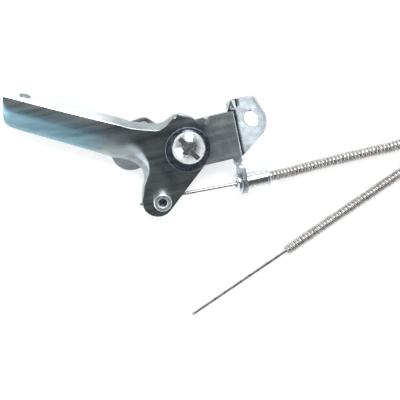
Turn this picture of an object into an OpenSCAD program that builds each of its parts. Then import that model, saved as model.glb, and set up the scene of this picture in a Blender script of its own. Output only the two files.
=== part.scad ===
// Throttle lever with its bracket, pivot, swivel and cable, lying on its back.
// +X runs along the base strip towards the ear, +Z out of the screw's head.

/* [Placing] */
// Distance from the origin to the pivot axis along X
pivot_x = 22.3; // [0:0.1:60]
// Distance from the origin to the pivot axis along Y
pivot_y = -7.2; // [-40:0.1:40]

/* [Bracket] */
// Thickness of the bracket's sheet
base_t = 2; // [1.5:0.1:2.5]
// Height of the base strip's underside above the ground
base_clear = 12; // [11.5:0.5:18]
// Radius of the base's round end about the pivot
base_round_r = 13; // [12:0.1:13.2]
// Distance from the pivot axis to the strip's lower edge
strip_low = 12.5; // [12:0.1:13.4]
// Distance from the pivot axis to the strip's upper edge
strip_high = 11.9; // [11.5:0.1:13]
// Distance from the pivot axis to the start of the ear's bend
bend_x = 25.2; // [24:0.1:32]
// Inner radius of the ear's bend
bend_r = 1.5; // [0.5:0.1:3]
// Angle by which the ear is bent up
ear_angle = 30; // [10:1:45]
// Radius of the ear's round outer side
ear_r = 10.6; // [9:0.1:14]
// Distance from the bend to the centre of the ear's round side
ear_reach = 5.6; // [3:0.1:12]
// Diameter of the ear's mounting hole
ear_hole_d = 8.4; // [6.4:0.1:9]
// Diameter of the foot's mounting hole
foot_hole_d = 5.5; // [4.3:0.1:6.6]
// Distance from the bend to the ear's mounting hole
ear_hole_reach = 8.4; // [7:0.1:10]
// Height of the stop lug above the strip
lug_h = 3.6; // [2:0.1:6]
// Length of the stop lug along Y
lug_w = 3.2; // [1.5:0.1:3.4]
// Width of the web that joins the base to the foot
web_w = 14; // [8:0.5:14]
// Distance from the pivot axis to the foot's far edge
foot_reach = 39.3; // [34:0.1:60]
// Distance from the pivot axis to the foot's lower edge
foot_low = 9.6; // [9:0.1:14]
// Distance from the pivot axis to the foot's upper edge
foot_high = 15.8; // [15:0.1:20]
// Distance from the pivot axis to the foot's hole, against X
foot_hole_back = 19.6; // [18:0.1:24]
// Distance from the pivot axis to the foot's hole along Y
foot_hole_side = 11.7; // [8:0.1:12]
// Radius of the foot's round lower corner
foot_r = 9.8; // [6:0.1:11]
// Width of the leg under the ear's upper corner
leg_w = 4.2; // [3:0.1:5]

/* [Lever] */
// Length of the straight handle from the neck to its tip
handle_len = 50.4; // [30:0.1:120]
// Direction of the handle from the base strip's line
handle_angle = 150.8; // [140:0.1:160]
// Width of the handle where the neck begins
handle_w = 20.5; // [18:0.1:23]
// Angle by which each of the handle's sides closes in towards the tip
handle_taper = 1; // [0:0.1:2]
// Distance from the pivot to the neck's beginning, against X
neck_back = 39.5; // [38:0.1:46]
// Distance from the pivot to the neck's beginning along Y
neck_side = 13.9; // [12:0.1:16]
// Thickness of the lever's sheet
lever_t = 2; // [1.5:0.1:2.5]
// Depth of the walls that are turned down round the lever
wall_h = 8.5; // [6:0.5:10]
// Radius of the lever's round end
lever_round_r = 12; // [10.5:0.1:12.4]
// Radius of the end of the cable arm
arm_r = 8; // [7:0.1:9]
// Distance from the pivot to the swivel, against X
swivel_back = 18.9; // [16:0.1:20]
// Distance from the pivot to the swivel, against Y
swivel_down = 24.6; // [22:0.1:26]
// Diameter of the hole in the handle's upper wall
grip_hole_d = 5.5; // [3:0.1:6]
// Distance of that hole from the handle's tip
grip_hole_back = 9.2; // [6:0.1:20]
// Depth of that hole's middle below the handle's top
grip_hole_drop = 3.5; // [3.4:0.1:5]

/* [Pivot] */
// Diameter of the pivot screw's shank
screw_d = 8; // [6:0.1:8]
// Diameter of the pivot screw's head
head_d = 17; // [14:0.1:18]
// Height of the pivot screw's head
head_h = 6; // [4:0.1:7]
// Width of the screw's slot
slot_w = 2.4; // [1:0.1:3]
// Depth of the screw's slot
slot_depth = 2.4; // [1:0.1:3]
// Outer diameter of the bush that the lever turns on
bush_d = 12; // [11:0.1:13]
// Thickness of the friction washer between lever and base
friction_t = 1; // [0.5:0.1:2]
// Outer diameter of the front washer
front_washer_d = 23.2; // [20:0.1:24]
// Thickness of the front washer
front_washer_t = 1.5; // [1:0.1:2.5]
// Bore of the front washer
front_washer_bore = 11.8; // [11.8:0.1:12.4]
// How far the loose front washer has settled off the screw
washer_drop = 1.5; // [0:0.1:1.8]
// Outer diameter of the rear washer
rear_washer_d = 16; // [14:0.1:20]
// Thickness of the rear washer
rear_washer_t = 1.6; // [1:0.1:2]
// Thickness of the disc spring's sheet
disc_t = 0.8; // [0.5:0.1:1]
// Height of the disc spring as fitted
disc_h = 1.2; // [1:0.1:1.6]
// Distance across the flats of the lock nut
nut_af = 13; // [12:0.1:14]
// Height of the lock nut's steel part
nut_h = 5.5; // [4:0.1:5.6]
// Height of the lock nut's collar
collar_h = 2.3; // [1.5:0.1:2.4]

/* [Swivel] */
// Diameter of the swivel's head
swivel_head_d = 9.2; // [8:0.1:10]
// Height of the swivel's head above the lever
swivel_head_h = 4.8; // [3:0.1:6]
// Diameter of the swivel's shank
swivel_d = 7; // [6.6:0.1:7.2]
// Diameter of the grub screw
grub_d = 4.4; // [4:0.1:4.6]
// Depth of the grub screw below the swivel's face
grub_sunk = 2; // [0.5:0.1:3]
// Thickness of the swivel's washer
swivel_washer_t = 0.6; // [0.4:0.1:0.8]
// Outer diameter of the swivel's washer
swivel_washer_d = 12; // [9:0.1:13]
// Thickness of the retaining clip
clip_t = 0.7; // [0.4:0.1:0.8]
// Outer diameter of the retaining clip
clip_d = 11; // [9:0.1:12]

/* [Cable] */
// Diameter of the inner wire
wire_d = 1.8; // [1.2:0.1:2]
// Length of wire that stands out behind the swivel
wire_tail = 7.8; // [5:0.1:10]
// Angle by which the wire's tail is bent aside
tail_bend = 12; // [0:1:20]
// Outside diameter of the steel conduit
conduit_d = 5.8; // [4.6:0.1:5.8]
// Bore of the conduit
conduit_bore = 2.8; // [2.4:0.1:3]
// Distance from the pivot to the ferrule's face along X
ferrule_x = 20.1; // [19.5:0.1:20.6]
// Distance from the pivot to the ferrule's face, against Y
ferrule_down = 26.4; // [25.5:0.1:27.5]
// Angle by which the ferrule dips towards the ground
ferrule_dip = 13; // [8:0.5:14]
// Angle by which the ferrule turns away from the strip
ferrule_turn = 5; // [3:0.5:6]
// Diameter of the ferrule's flange
flange_d = 10.3; // [9:0.1:10.6]
// Thickness of the ferrule's flange
flange_t = 2.5; // [1.5:0.1:3]
// Diameter of the ferrule's groove
groove_d = 6.8; // [6.6:0.1:7.6]
// Diameter of the ferrule's barrel beside the groove
barrel_d = 9.3; // [9:0.1:10.4]
// Diameter of the ferrule's barrel at its far end
barrel_end_d = 8.8; // [8:0.1:9.6]
// Length of the ferrule's barrel
barrel_len = 13.2; // [12:0.1:14]
// Depth to which the conduit sits in the barrel
seat_depth = 8; // [5:0.1:10]
// Length of bare wire at the far end
wire_out = 62.7; // [50:0.1:80]
// Length of straight open conduit at the far end
end_len = 45; // [42:0.5:50]

/* [Coil] */
// Distance from the pivot to the coil's centre along X
coil_x = 170; // [165:1:190]
// Distance from the pivot to the coil's centre along Y
coil_y = 14.3; // [10:0.1:20]
// Radius of the coil's innermost turn at the middle of the conduit
coil_inner_r = 25; // [24:0.1:26]
// Distance between turns that lie side by side
turn_pitch = 6; // [5.9:0.05:6.2]
// Thickness of the straps that hold the coil
tie_t = 0.8; // [0.5:0.1:1.5]
// Width of the straps that hold the coil
tie_w = 4; // [3:0.1:8]

/* [Hidden] */

// Running clearance between a shaft and its hole, on the radius
running = 0.05;
// Loose clearance on the radius or the side
loose = 0.15;
// How far a cutting shape stands past what it cuts
past = 1;
// Sides of a full circle on fine and on coarse shapes
fine = 64;
coarse = 32;
// Chamfer on screws and pins
chamfer = 0.5;

// Levels from the ground up
base_top = base_clear + base_t;
lever_z = base_top + friction_t;
lever_top = lever_z + lever_t;
washer_top = lever_top + front_washer_t;
head_top = washer_top + head_h;
rim_z = lever_top - wall_h;
rear_washer_z = base_clear - rear_washer_t;
disc_z = rear_washer_z - disc_h;
nut_z = disc_z - nut_h;
collar_z = nut_z - collar_h;
swivel_top = lever_top + swivel_head_h;
swivel_washer_z = lever_z - swivel_washer_t;
clip_z = swivel_washer_z - clip_t;
wire_z = clip_z - 0.2 - wire_d / 2;
swivel_bottom = wire_z - wire_d - 1.5;
screw_end = collar_z - 0.3;

// Bracket
washer_shift = washer_drop * [-0.3, -0.95];
lever_round = [-0.5, -1.4];
arm_round = [-(swivel_back + 2.3), -(swivel_down + 0.3)];
web_x = -sqrt(pow(base_round_r, 2) - pow(web_w / 2, 2)) + 0.04;
foot_hole = [-foot_hole_back, foot_hole_side];
foot_corner = [-foot_reach + foot_r, -foot_low + foot_r];
foot_lobe_r = foot_hole_d / 2 + 1.9;
foot_back_r = 2.6;
foot_back = [-foot_hole_back - 5.9, foot_high - foot_back_r];
lug_x = 10.9;
leg_y = strip_high + 1.5;
leg_slant = 0.6;
leg_lean = 2.8;
ear_corner_r = 3.5;
ear_corner = [ear_reach + 3.9, ear_r + 4.4];
ear_low = 11.5;
ear_y = 6;
ear_hole_y = 6.7;
slot_angle = 120;
wing_len = 7.4;
wing_drop = 0.6;
dome_r = 12;

// Ferrule and cable
wire_from = [-swivel_back, -swivel_down, wire_z];
ferrule_face = [ferrule_x, -ferrule_down, wire_z];
groove_w = base_t + 2 * loose;
ferrule_len = flange_t + groove_w + barrel_len;
lip_h = 0.5;
lip_len = 1.6;
wire_hole_d = 3.6;
conduit_r = conduit_d / 2;
wire_r = wire_d / 2;
wire_in = 3;
wire_hidden = end_len - 14;
tail_bend_back = 4;
tab_r = 6;
tab_top = 9.5;
tab_back = -4.5;
tab_front = 4.6;
tab_neck = 4.2;
tie_z = tie_t;
coil_z = tie_t + conduit_r;
upper_z = coil_z + conduit_d + 0.1;
coil_outer_r = coil_inner_r + 2 * turn_pitch;
coil_top_r = coil_inner_r + turn_pitch;
tie_angles = [45, 225];
// Direction of the far end's straight line, from X
strand_angle = 22.7;
conduit_tip = [40.6, -73.4, conduit_r];

// Routes of the conduit, measured from the pivot at ground level
lead_route = [
    [45, -28.8, 6.4], [51, -29.2, 5], [57, -29.4, 3.9], [64, -29.4, 3.1], [72, -29.3, 2.9],
    [84, -29.2, 2.9], [96, -29.1, 2.9], [108, -29.1, 2.9], [116, -27.8, 2.9], [123, -24.2, 2.9],
    [128.6, -18.6, 3], [132, -11.6, 3.3], [133, -3, 3.7]
];
return_route = [
    [172.5, -21, 9.6], [166, -23.5, 9.5], [159, -25.9, 9.1], [152, -28.2, 8.2], [144, -31, 6.5],
    [136, -33.9, 4.7], [128, -37, 3.4], [120, -40.2, 2.9], [108, -45.2, 2.9]
];

function unit(v) = v / norm(v);
function lift(p, z) = [p[0], p[1], z];
function mixed(a, b, t) = a + (b - a) * t;
function on_strand(s) = conduit_tip + s * [cos(strand_angle), sin(strand_angle), 0];

// A tube of n sides swept along a list of points
function heading(route, i) = unit(
    route[min(i + 1, len(route) - 1)] - route[max(i - 1, 0)]);
function side_of(h) = unit(cross([0, 0, 1], h));
function ring(route, i, r, n) = let (h = heading(route, i), s = side_of(h), u = cross(h, s))
    [for (k = [0 : n - 1]) route[i] + r * (cos(360 * k / n) * s + sin(360 * k / n) * u)];

module tube(route, r, n = 10) {
    rings = len(route);
    points = [for (i = [0 : rings - 1]) each ring(route, i, r, n)];
    sides = [for (i = [0 : rings - 2]) for (k = [0 : n - 1])
        [(i + 1) * n + k, (i + 1) * n + (k + 1) % n, i * n + (k + 1) % n, i * n + k]];
    first = [for (k = [0 : n - 1]) k];
    last = [for (k = [n - 1 : -1 : 0]) (rings - 1) * n + k];
    polyhedron(points = points, faces = concat([first], sides, [last]));
}

module at_pivot() {
    translate([pivot_x, pivot_y, 0]) children();
}

module disc(d, bore, h, z) {
    translate([0, 0, z]) difference() {
        cylinder(d = d, h = h, $fn = fine);
        translate([0, 0, -past]) cylinder(d = bore, h = h + 2 * past, $fn = fine);
    }
}

// Puts its children on the ferrule's axis, +X pointing into the barrel
module on_ferrule() {
    translate(ferrule_face) rotate([0, 0, -ferrule_turn]) rotate([0, ferrule_dip, 0]) children();
}

module at_swivel() {
    translate([-swivel_back, -swivel_down, 0]) children();
}

// The base strip with the round end about the pivot
module base_plate() {
    translate([0, 0, base_clear]) linear_extrude(base_t) union() {
        circle(r = base_round_r, $fn = fine);
        translate([0, -strip_low]) square([bend_x, strip_low + strip_high]);
    }
}

// The web steps down from the base's round end to the foot on the ground
module web_and_foot() {
    translate([web_x, -web_w / 2, 0]) cube([base_t, web_w, base_top]);
    difference() {
        linear_extrude(base_t) hull() {
            translate(foot_corner) circle(r = foot_r, $fn = coarse);
            translate(foot_back) circle(r = foot_back_r, $fn = coarse);
            translate(foot_hole) circle(r = foot_lobe_r, $fn = coarse);
            translate([web_x, -web_w / 2]) square([base_t, web_w]);
        }
        translate([foot_hole[0], foot_hole[1], -past])
            cylinder(d = foot_hole_d, h = base_t + 2 * past, $fn = fine);
    }
}

// Moves its children to the end of the ear's bend, +X along the ear and +Z its normal
module at_ear() {
    translate([bend_x, 0, base_top + bend_r]) rotate([0, -ear_angle, 0])
        translate([0, 0, -bend_r - base_t]) children();
}

module ear() {
    translate([bend_x, strip_high, base_top + bend_r])
        rotate([90, 0, 0]) rotate([0, 0, -90]) rotate_extrude(angle = ear_angle, $fn = fine)
            translate([bend_r, 0]) square([base_t, ear_low + strip_high]);
    at_ear() difference() {
        linear_extrude(base_t) hull() {
            translate([ear_reach, ear_y]) circle(r = ear_r, $fn = fine);
            translate(ear_corner) circle(r = ear_corner_r, $fn = coarse);
            translate([0, -ear_low]) square([1, ear_low + leg_y + leg_w]);
        }
        translate([ear_hole_reach, ear_hole_y, -past])
            cylinder(d = ear_hole_d, h = base_t + 2 * past, $fn = fine);
    }
}

// The leg is turned down from the ear's upper corner and stands on the ground
module leg() {
    hull() {
        at_ear() translate([0, leg_y, 0]) cube([base_t, leg_w, base_t]);
        translate([bend_x - leg_slant, leg_y - leg_lean, 0]) cube([base_t, leg_w - 1, base_t / 2]);
    }
}

module tab_outline() {
    hull() {
        circle(r = tab_r, $fn = coarse);
        translate([tab_top - 1, -tab_front]) square([1, tab_front - tab_back]);
    }
}

// The tab is twisted off the strip's corner and stands across the cable
module tab() {
    on_ferrule() translate([flange_t + loose, 0, 0]) difference() {
        rotate([0, 90, 0]) rotate([0, 0, 90]) linear_extrude(base_t) tab_outline();
        translate([-past, 0, 0]) rotate([0, 90, 0])
            cylinder(d = groove_d + 2 * loose, h = base_t + 2 * past, $fn = fine);
        translate([-past, -groove_d / 2 - loose, -2 * tab_r])
            cube([base_t + 2 * past, groove_d + 2 * loose, 2 * tab_r]);
    }
    hull() {
        on_ferrule() translate([flange_t + loose, tab_top - 1, tab_back])
            cube([base_t, 1, tab_front - tab_back]);
        translate([bend_x - tab_neck, -strip_low, base_clear]) cube([tab_neck, 1, base_t]);
    }
}

module lug() {
    translate([lug_x, strip_high - lug_w, base_clear]) cube([base_t, lug_w, base_t + lug_h]);
}

module bracket() {
    color("lightsteelblue") at_pivot() difference() {
        union() {
            base_plate();
            web_and_foot();
            ear();
            leg();
            tab();
            lug();
        }
        translate([0, 0, base_clear - past])
            cylinder(d = screw_d + 2 * running, h = base_t + 2 * past, $fn = fine);
    }
}

// Edges of the straight handle, at a distance from where the neck begins
function way(angle) = [cos(angle), sin(angle)];
handle_slant = 7;
neck_mid = [-neck_back, neck_side];
neck_across = way(handle_angle - 90 + handle_slant) * handle_w / 2;
function low_edge(d) = neck_mid - neck_across + d * way(handle_angle - handle_taper);
function high_edge(d) = neck_mid + neck_across + d * way(handle_angle + handle_taper);
corner_back = 5.1;
corner_turn = 1.2;

// Stations across the drawn sheet, from the handle's tip to the arm's left side:
// lower rim, upper rim, reach of the lower and of the upper curve,
// share of the walls' depth on the lower and on the upper side
stations = [
    [low_edge(handle_len - corner_turn) + corner_turn * way(handle_angle - 90),
        high_edge(handle_len), 12.5, 3.4, 1, 1],
    [low_edge(handle_len - corner_back), high_edge(handle_len - corner_back / 2), 13.0, 3.3, 1, 1],
    [low_edge(handle_len / 2), high_edge(handle_len / 2), 13.5, 3.2, 1, 1],
    [low_edge(0), high_edge(0), 15.0, 2.8, 1, 1],
    [[-38.8, 1.5], [-30.1, 20.2], 15.5, 2.4, 1, 1],
    [[-34.1, -0.5], [-24.9, 17.2], 15.0, 2.2, 1, 1],
    [[-30.4, -2.5], [-18.7, 14.9], 12.5, 2.2, 1, 1],
    [[-27.3, -5.2], [-13.9, 13.4], 9.5, 2.2, 1, 1],
    [[-25.6, -8.0], [-10.6, 13.2], 8.0, 2.4, 1, 1],
    [[-25.3, -11.1], [-7.6, 14.4], 7.4, 2.5, 1, 0.85],
    [[-25.9, -14.3], [-4.9, 16.1], 6.2, 2.3, 0.9, 0.6],
    [[-27.8, -17.8], [-3.0, 17.0], 3.4, 2.3, 0.6, 0.4],
    [[-29.8, -24.6], [0.2, 16.7], 2.6, 2.3, 0.34, 0.3]
];
tip_bulge = 1.5;
steps = 3;
curve_steps = 6;
last_station = len(stations) - 1;

// Value of column c at a place between stations, on a smooth curve through them
function column(i, c) = stations[max(0, min(last_station, i))][c];
function smooth(i, t, c) = let (
    a = column(i - 1, c), b = column(i, c), d = column(i + 1, c), e = column(i + 2, c))
    0.5 * (2 * b + (d - a) * t + (2 * a - 5 * b + 4 * d - e) * t * t
        + (3 * b - a - 3 * d + e) * t * t * t);
function at(u, c) = let (i = min(floor(u), last_station - 1)) smooth(i, u - i, c);

// One side of the section: from the rim at point p up along d to the flat top
function side(p, d, reach, share, inset) = let (
    top = lever_top - inset, foot = lever_top - wall_h * share)
    [for (k = [0 : curve_steps]) let (a = 90 * k / curve_steps)
        lift(p + d * (inset + (reach - inset) * (1 - cos(a))), foot + (top - foot) * sin(a))];
function turned(list) = [for (k = [len(list) - 1 : -1 : 0]) list[k]];

// How far a point of the section stands out at the handle's tip
function bulged(list, u) = let (n = len(list) - 1, out = tip_bulge * pow(max(0, 1 - u / 2), 2))
    [for (k = [0 : n]) list[k] - out * sin(180 * k / n) * handle_way];
handle_way = -lift(way(handle_angle), 0);

// Section of the sheet at station u, inset by the sheet's thickness for its inner side
function section(u, inset) = let (
    p = at(u, 0), q = at(u, 1), d = unit(q - p),
    low_side = side(p, d, at(u, 2), at(u, 4), inset),
    high_side = side(q, -d, at(u, 3), at(u, 5), inset))
    bulged(concat(low_side, turned(high_side)), u);

// The drawn sheet: handle, neck and the turned-down walls
module drawn_sheet() {
    rings = steps * last_station + 1;
    n = 2 * (curve_steps + 1);
    outer = [for (i = [0 : rings - 1]) each section(i / steps, 0)];
    inner = [for (i = [0 : rings - 1]) each section(i / steps, lever_t)];
    shift = rings * n;
    skins = [for (i = [0 : rings - 2]) for (k = [0 : n - 2]) let (a = i * n + k)
        each [[a, a + 1, a + n], [a + 1, a + n + 1, a + n]]];
    far = n - 1;
    rims = [for (i = [0 : rings - 2]) let (a = i * n, b = a + far) each [
        [a, a + n, a + shift], [a + n, a + n + shift, a + shift],
        [b, b + shift, b + n], [b + n, b + shift, b + n + shift]]];
    last = (rings - 1) * n;
    ends = [for (k = [0 : n - 2]) each [
        [k, k + shift, k + 1], [k + 1, k + shift, k + 1 + shift],
        [last + k, last + k + 1, last + k + shift],
        [last + k + 1, last + k + 1 + shift, last + k + shift]]];
    polyhedron(
        points = concat(outer, inner),
        faces = concat(
            skins,
            [for (f = skins) [f[2] + shift, f[1] + shift, f[0] + shift]],
            rims, ends));
}

module flat_outline() {
    hull() {
        translate(lever_round) circle(r = lever_round_r, $fn = fine);
        translate(arm_round) circle(r = arm_r, $fn = fine);
    }
    hull() {
        translate(lever_round) circle(r = lever_round_r, $fn = fine);
        translate([2.2, 10.4]) circle(r = 4.4, $fn = coarse);
        translate([-0.7, 15.3]) circle(r = 2, $fn = coarse);
    }
}

module grip_hole() {
    along = handle_way;
    spot = stations[0][1] + grip_hole_back * [along[0], along[1]];
    translate([spot[0], spot[1], lever_top - grip_hole_drop])
        rotate([0, 0, atan2(along[1], along[0])]) rotate([-90, 0, 0])
            translate([0, 0, -3 * lever_t]) cylinder(d = grip_hole_d, h = 6 * lever_t, $fn = fine);
}

module lever() {
    color("slategray") at_pivot() difference() {
        union() {
            drawn_sheet();
            translate([0, 0, lever_z]) linear_extrude(lever_t) flat_outline();
        }
        translate([0, 0, lever_z - past])
            cylinder(d = bush_d + 2 * running, h = lever_t + 2 * past, $fn = fine);
        at_swivel() translate([0, 0, lever_z - past])
            cylinder(d = swivel_d + 2 * running, h = lever_t + 2 * past, $fn = fine);
        grip_hole();
    }
}

module pivot_screw() {
    color("silver") at_pivot() difference() {
        union() {
            intersection() {
                translate([0, 0, washer_top]) cylinder(d = head_d, h = head_h, $fn = fine);
                translate([0, 0, head_top - dome_r]) sphere(r = dome_r, $fn = fine);
            }
            translate([0, 0, screw_end + chamfer])
                cylinder(d = screw_d, h = washer_top - screw_end, $fn = fine);
            translate([0, 0, screw_end])
                cylinder(d1 = screw_d - 2 * chamfer, d2 = screw_d, h = chamfer, $fn = fine);
        }
        translate([0, 0, head_top - slot_depth]) rotate(slot_angle)
            translate([-head_d / 2 - past, -slot_w / 2, 0])
                cube([head_d + 2 * past, slot_w, slot_depth + past]);
        translate([0, 0, head_top - slot_depth - wing_drop]) rotate(slot_angle + 90)
            translate([-wing_len / 2, -slot_w / 2, 0])
                cube([wing_len, slot_w, slot_depth + past + wing_drop]);
    }
}

module front_washer() {
    color("dimgray") at_pivot() translate(washer_shift)
        disc(front_washer_d, front_washer_bore, front_washer_t, lever_top);
}

module pivot_bush() {
    color("darkkhaki") at_pivot() disc(bush_d, screw_d + 2 * running, lever_top - base_top, base_top);
}

module friction_washer() {
    color("black") at_pivot() disc(front_washer_d - 1.6, bush_d + 2 * running, friction_t, base_top);
}

module rear_washer() {
    color("silver") at_pivot() disc(rear_washer_d, screw_d + 2 * running, rear_washer_t, rear_washer_z);
}

// The disc spring is a shallow cone that presses the nut against the washer
module disc_spring() {
    inner = screw_d / 2 + running;
    outer = rear_washer_d / 2 - 0.4;
    color("dimgray") at_pivot() translate([0, 0, disc_z]) rotate_extrude($fn = fine)
        polygon([[inner, 0], [inner, disc_t], [outer, disc_h], [outer, disc_h - disc_t]]);
}

module lock_nut() {
    color("silver") at_pivot() difference() {
        union() {
            intersection() {
                translate([0, 0, nut_z]) cylinder(d = nut_af / cos(30), h = nut_h, $fn = 6);
                translate([0, 0, nut_z - past])
                    cylinder(d = nut_af + 1.2, h = nut_h + 2 * past, $fn = fine);
            }
            translate([0, 0, collar_z]) cylinder(d = nut_af - 1, h = collar_h, $fn = fine);
        }
        translate([0, 0, nut_z - past])
            cylinder(d = screw_d + 2 * running, h = nut_h + 2 * past, $fn = fine);
        translate([0, 0, collar_z - past])
            cylinder(d = nut_af - 2.6, h = collar_h + past, $fn = fine);
    }
}

module nut_insert() {
    color("royalblue") at_pivot()
        disc(nut_af - 2.6 - 2 * running, screw_d + 2 * running, collar_h, collar_z);
}

module swivel_pin() {
    color("whitesmoke") at_pivot() at_swivel() difference() {
        union() {
            translate([0, 0, lever_top])
                cylinder(d = swivel_head_d, h = swivel_head_h - chamfer, $fn = fine);
            translate([0, 0, swivel_top - chamfer])
                cylinder(d1 = swivel_head_d, d2 = swivel_head_d - 2 * chamfer, h = chamfer, $fn = fine);
            translate([0, 0, swivel_bottom])
                cylinder(d = swivel_d, h = lever_top - swivel_bottom, $fn = fine);
        }
        disc(swivel_d + past, swivel_d - 1, clip_t, clip_z);
        translate([0, 0, wire_z - wire_r - 0.1])
            cylinder(d = grub_d + 2 * running, h = swivel_top - wire_z + past + wire_r, $fn = fine);
        swivel_bore();
    }
}

function wire_turn() = atan2(ferrule_face[1] - wire_from[1], ferrule_face[0] - wire_from[0]);

module swivel_bore() {
    translate([0, 0, wire_z]) rotate([0, 0, wire_turn()]) rotate([0, 90, 0])
        translate([0, 0, -swivel_head_d])
            cylinder(d = wire_d + 2 * loose, h = 2 * swivel_head_d, $fn = coarse);
}

module grub_screw() {
    top = swivel_top - grub_sunk;
    low = wire_z + wire_r + 0.02;
    color("dimgray") at_pivot() at_swivel() difference() {
        translate([0, 0, low]) cylinder(d = grub_d, h = top - low, $fn = fine);
        translate([0, 0, top - 2]) cylinder(d = grub_d / 2, h = 2 + past, $fn = 6);
    }
}

module swivel_washer() {
    color("silver") at_pivot() at_swivel()
        disc(swivel_washer_d, swivel_d + 2 * running, swivel_washer_t, swivel_washer_z);
}

// The clip is open on one side, so that it can be pushed into the pin's groove
module swivel_clip() {
    color("dimgray") at_pivot() at_swivel() difference() {
        disc(clip_d, swivel_d - 1 + 2 * running, clip_t - 2 * running, clip_z + running);
        translate([-1.5, -clip_d, clip_z - past]) cube([3, clip_d, clip_t + 2 * past]);
    }
}

module ferrule() {
    seat = ferrule_len - seat_depth;
    color("silver") at_pivot() on_ferrule() rotate([0, 90, 0]) difference() {
        union() {
            cylinder(d = flange_d, h = flange_t, $fn = fine);
            cylinder(d = groove_d, h = ferrule_len - 1, $fn = fine);
            translate([0, 0, flange_t + groove_w])
                cylinder(d1 = barrel_d, d2 = barrel_end_d, h = barrel_len, $fn = fine);
            translate([0, 0, ferrule_len - lip_len])
                cylinder(d = barrel_end_d + 2 * lip_h, h = lip_len, $fn = fine);
        }
        translate([0, 0, -past]) cylinder(d = wire_hole_d, h = seat + 2 * past, $fn = fine);
        translate([0, 0, seat]) cylinder(d = conduit_d + 2 * running, h = seat_depth + past, $fn = fine);
    }
}

module wire(from, turn, len) {
    translate(from) rotate([0, 0, turn]) rotate([0, 90, 0])
        cylinder(d = wire_d, h = len, $fn = coarse);
}

// The near end of the inner wire, from its bent tail behind the swivel into the ferrule
module wire_span() {
    span = ferrule_face - wire_from;
    bend_at = wire_from - tail_bend_back * unit(span);
    color("gray") at_pivot() {
        wire(bend_at, wire_turn(), tail_bend_back + norm(span) + wire_in);
        wire(bend_at, wire_turn() + 180 + tail_bend, wire_tail);
        translate(bend_at) sphere(d = wire_d, $fn = coarse);
    }
}

module wire_free_end() {
    color("gray") at_pivot() wire(on_strand(-wire_out), strand_angle, wire_out + wire_hidden);
}

// The end of the ferrule's axis that the conduit starts from
function ferrule_point(s) = ferrule_face + s * [
    cos(ferrule_dip) * cos(ferrule_turn), -cos(ferrule_dip) * sin(ferrule_turn), -sin(ferrule_dip)];

module conduit_lead() {
    route = concat([ferrule_point(ferrule_len - seat_depth), ferrule_point(ferrule_len),
        ferrule_point(ferrule_len + 3)], lead_route);
    color("darkgray") at_pivot() tube(route, conduit_r);
}

// One plain ring of the outer shape of all the turns
module conduit_coil() {
    low = tie_z;
    mid = coil_z + conduit_r;
    high = upper_z + conduit_r;
    color("darkgray") at_pivot() translate([coil_x, coil_y, 0]) rotate_extrude($fn = fine) polygon([
        [coil_inner_r - conduit_r, low], [coil_outer_r + conduit_r, low],
        [coil_outer_r + conduit_r, mid], [coil_top_r + conduit_r, mid],
        [coil_top_r + conduit_r, high], [coil_inner_r - conduit_r, high]]);
}

module conduit_return() {
    route = concat(return_route, [on_strand(end_len + 12), on_strand(end_len)]);
    color("darkgray") at_pivot() tube(route, conduit_r);
}

module conduit_end() {
    color("darkgray") at_pivot() translate(conduit_tip) rotate([0, 0, strand_angle]) rotate([0, 90, 0])
        difference() {
            cylinder(d = conduit_d, h = end_len, $fn = coarse);
            translate([0, 0, -past]) cylinder(d = conduit_bore, h = end_len + 2 * past, $fn = coarse);
        }
}

// A strap round the coil's section, closed under the turns
module coil_tie(angle) {
    inside = coil_inner_r - conduit_r - 0.1;
    outside = coil_outer_r + conduit_r + 0.1;
    step = coil_top_r + conduit_r + 0.1;
    mid = coil_z + conduit_r;
    high = upper_z + conduit_r + 0.1;
    color("black") at_pivot() translate([coil_x, coil_y, 0]) rotate([0, 0, angle])
        translate([0, tie_w / 2, 0]) rotate([90, 0, 0]) linear_extrude(tie_w) difference() {
            polygon([
                [inside - tie_t, 0], [outside + tie_t, 0], [outside + tie_t, mid + tie_t],
                [step + tie_t, high + tie_t], [inside - tie_t, high + tie_t]]);
            polygon([
                [inside, tie_t], [outside, tie_t], [outside, mid + tie_t / 2],
                [step, high], [inside, high]]);
        }
}

module coil_tie_a() {
    coil_tie(tie_angles[0]);
}

module coil_tie_b() {
    coil_tie(tie_angles[1]);
}

bracket();
lever();
pivot_screw();
front_washer();
pivot_bush();
friction_washer();
rear_washer();
disc_spring();
lock_nut();
nut_insert();
swivel_pin();
grub_screw();
swivel_washer();
swivel_clip();
ferrule();
wire_span();
wire_free_end();
conduit_lead();
conduit_coil();
conduit_return();
conduit_end();
coil_tie_a();
coil_tie_b();
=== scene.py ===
# %% [markdown]
# # A pressed-steel throttle lever with its bracket and cable
#
# The part lies on its back on a pale floor. A zinc-plated bracket carries a pressed lever on a
# slotted pivot screw. A wire runs from a swivel on the lever's short arm into a ferrule, and on
# through a conduit of wound steel wire. This lesson builds each piece with the tools a person
# would use by hand, and gives each its own procedural finish.
#
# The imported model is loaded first. It is the fixed frame: every new piece is placed by it.

# %% Load the frame
import bpy
import math
from mathutils import Matrix, Vector


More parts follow.
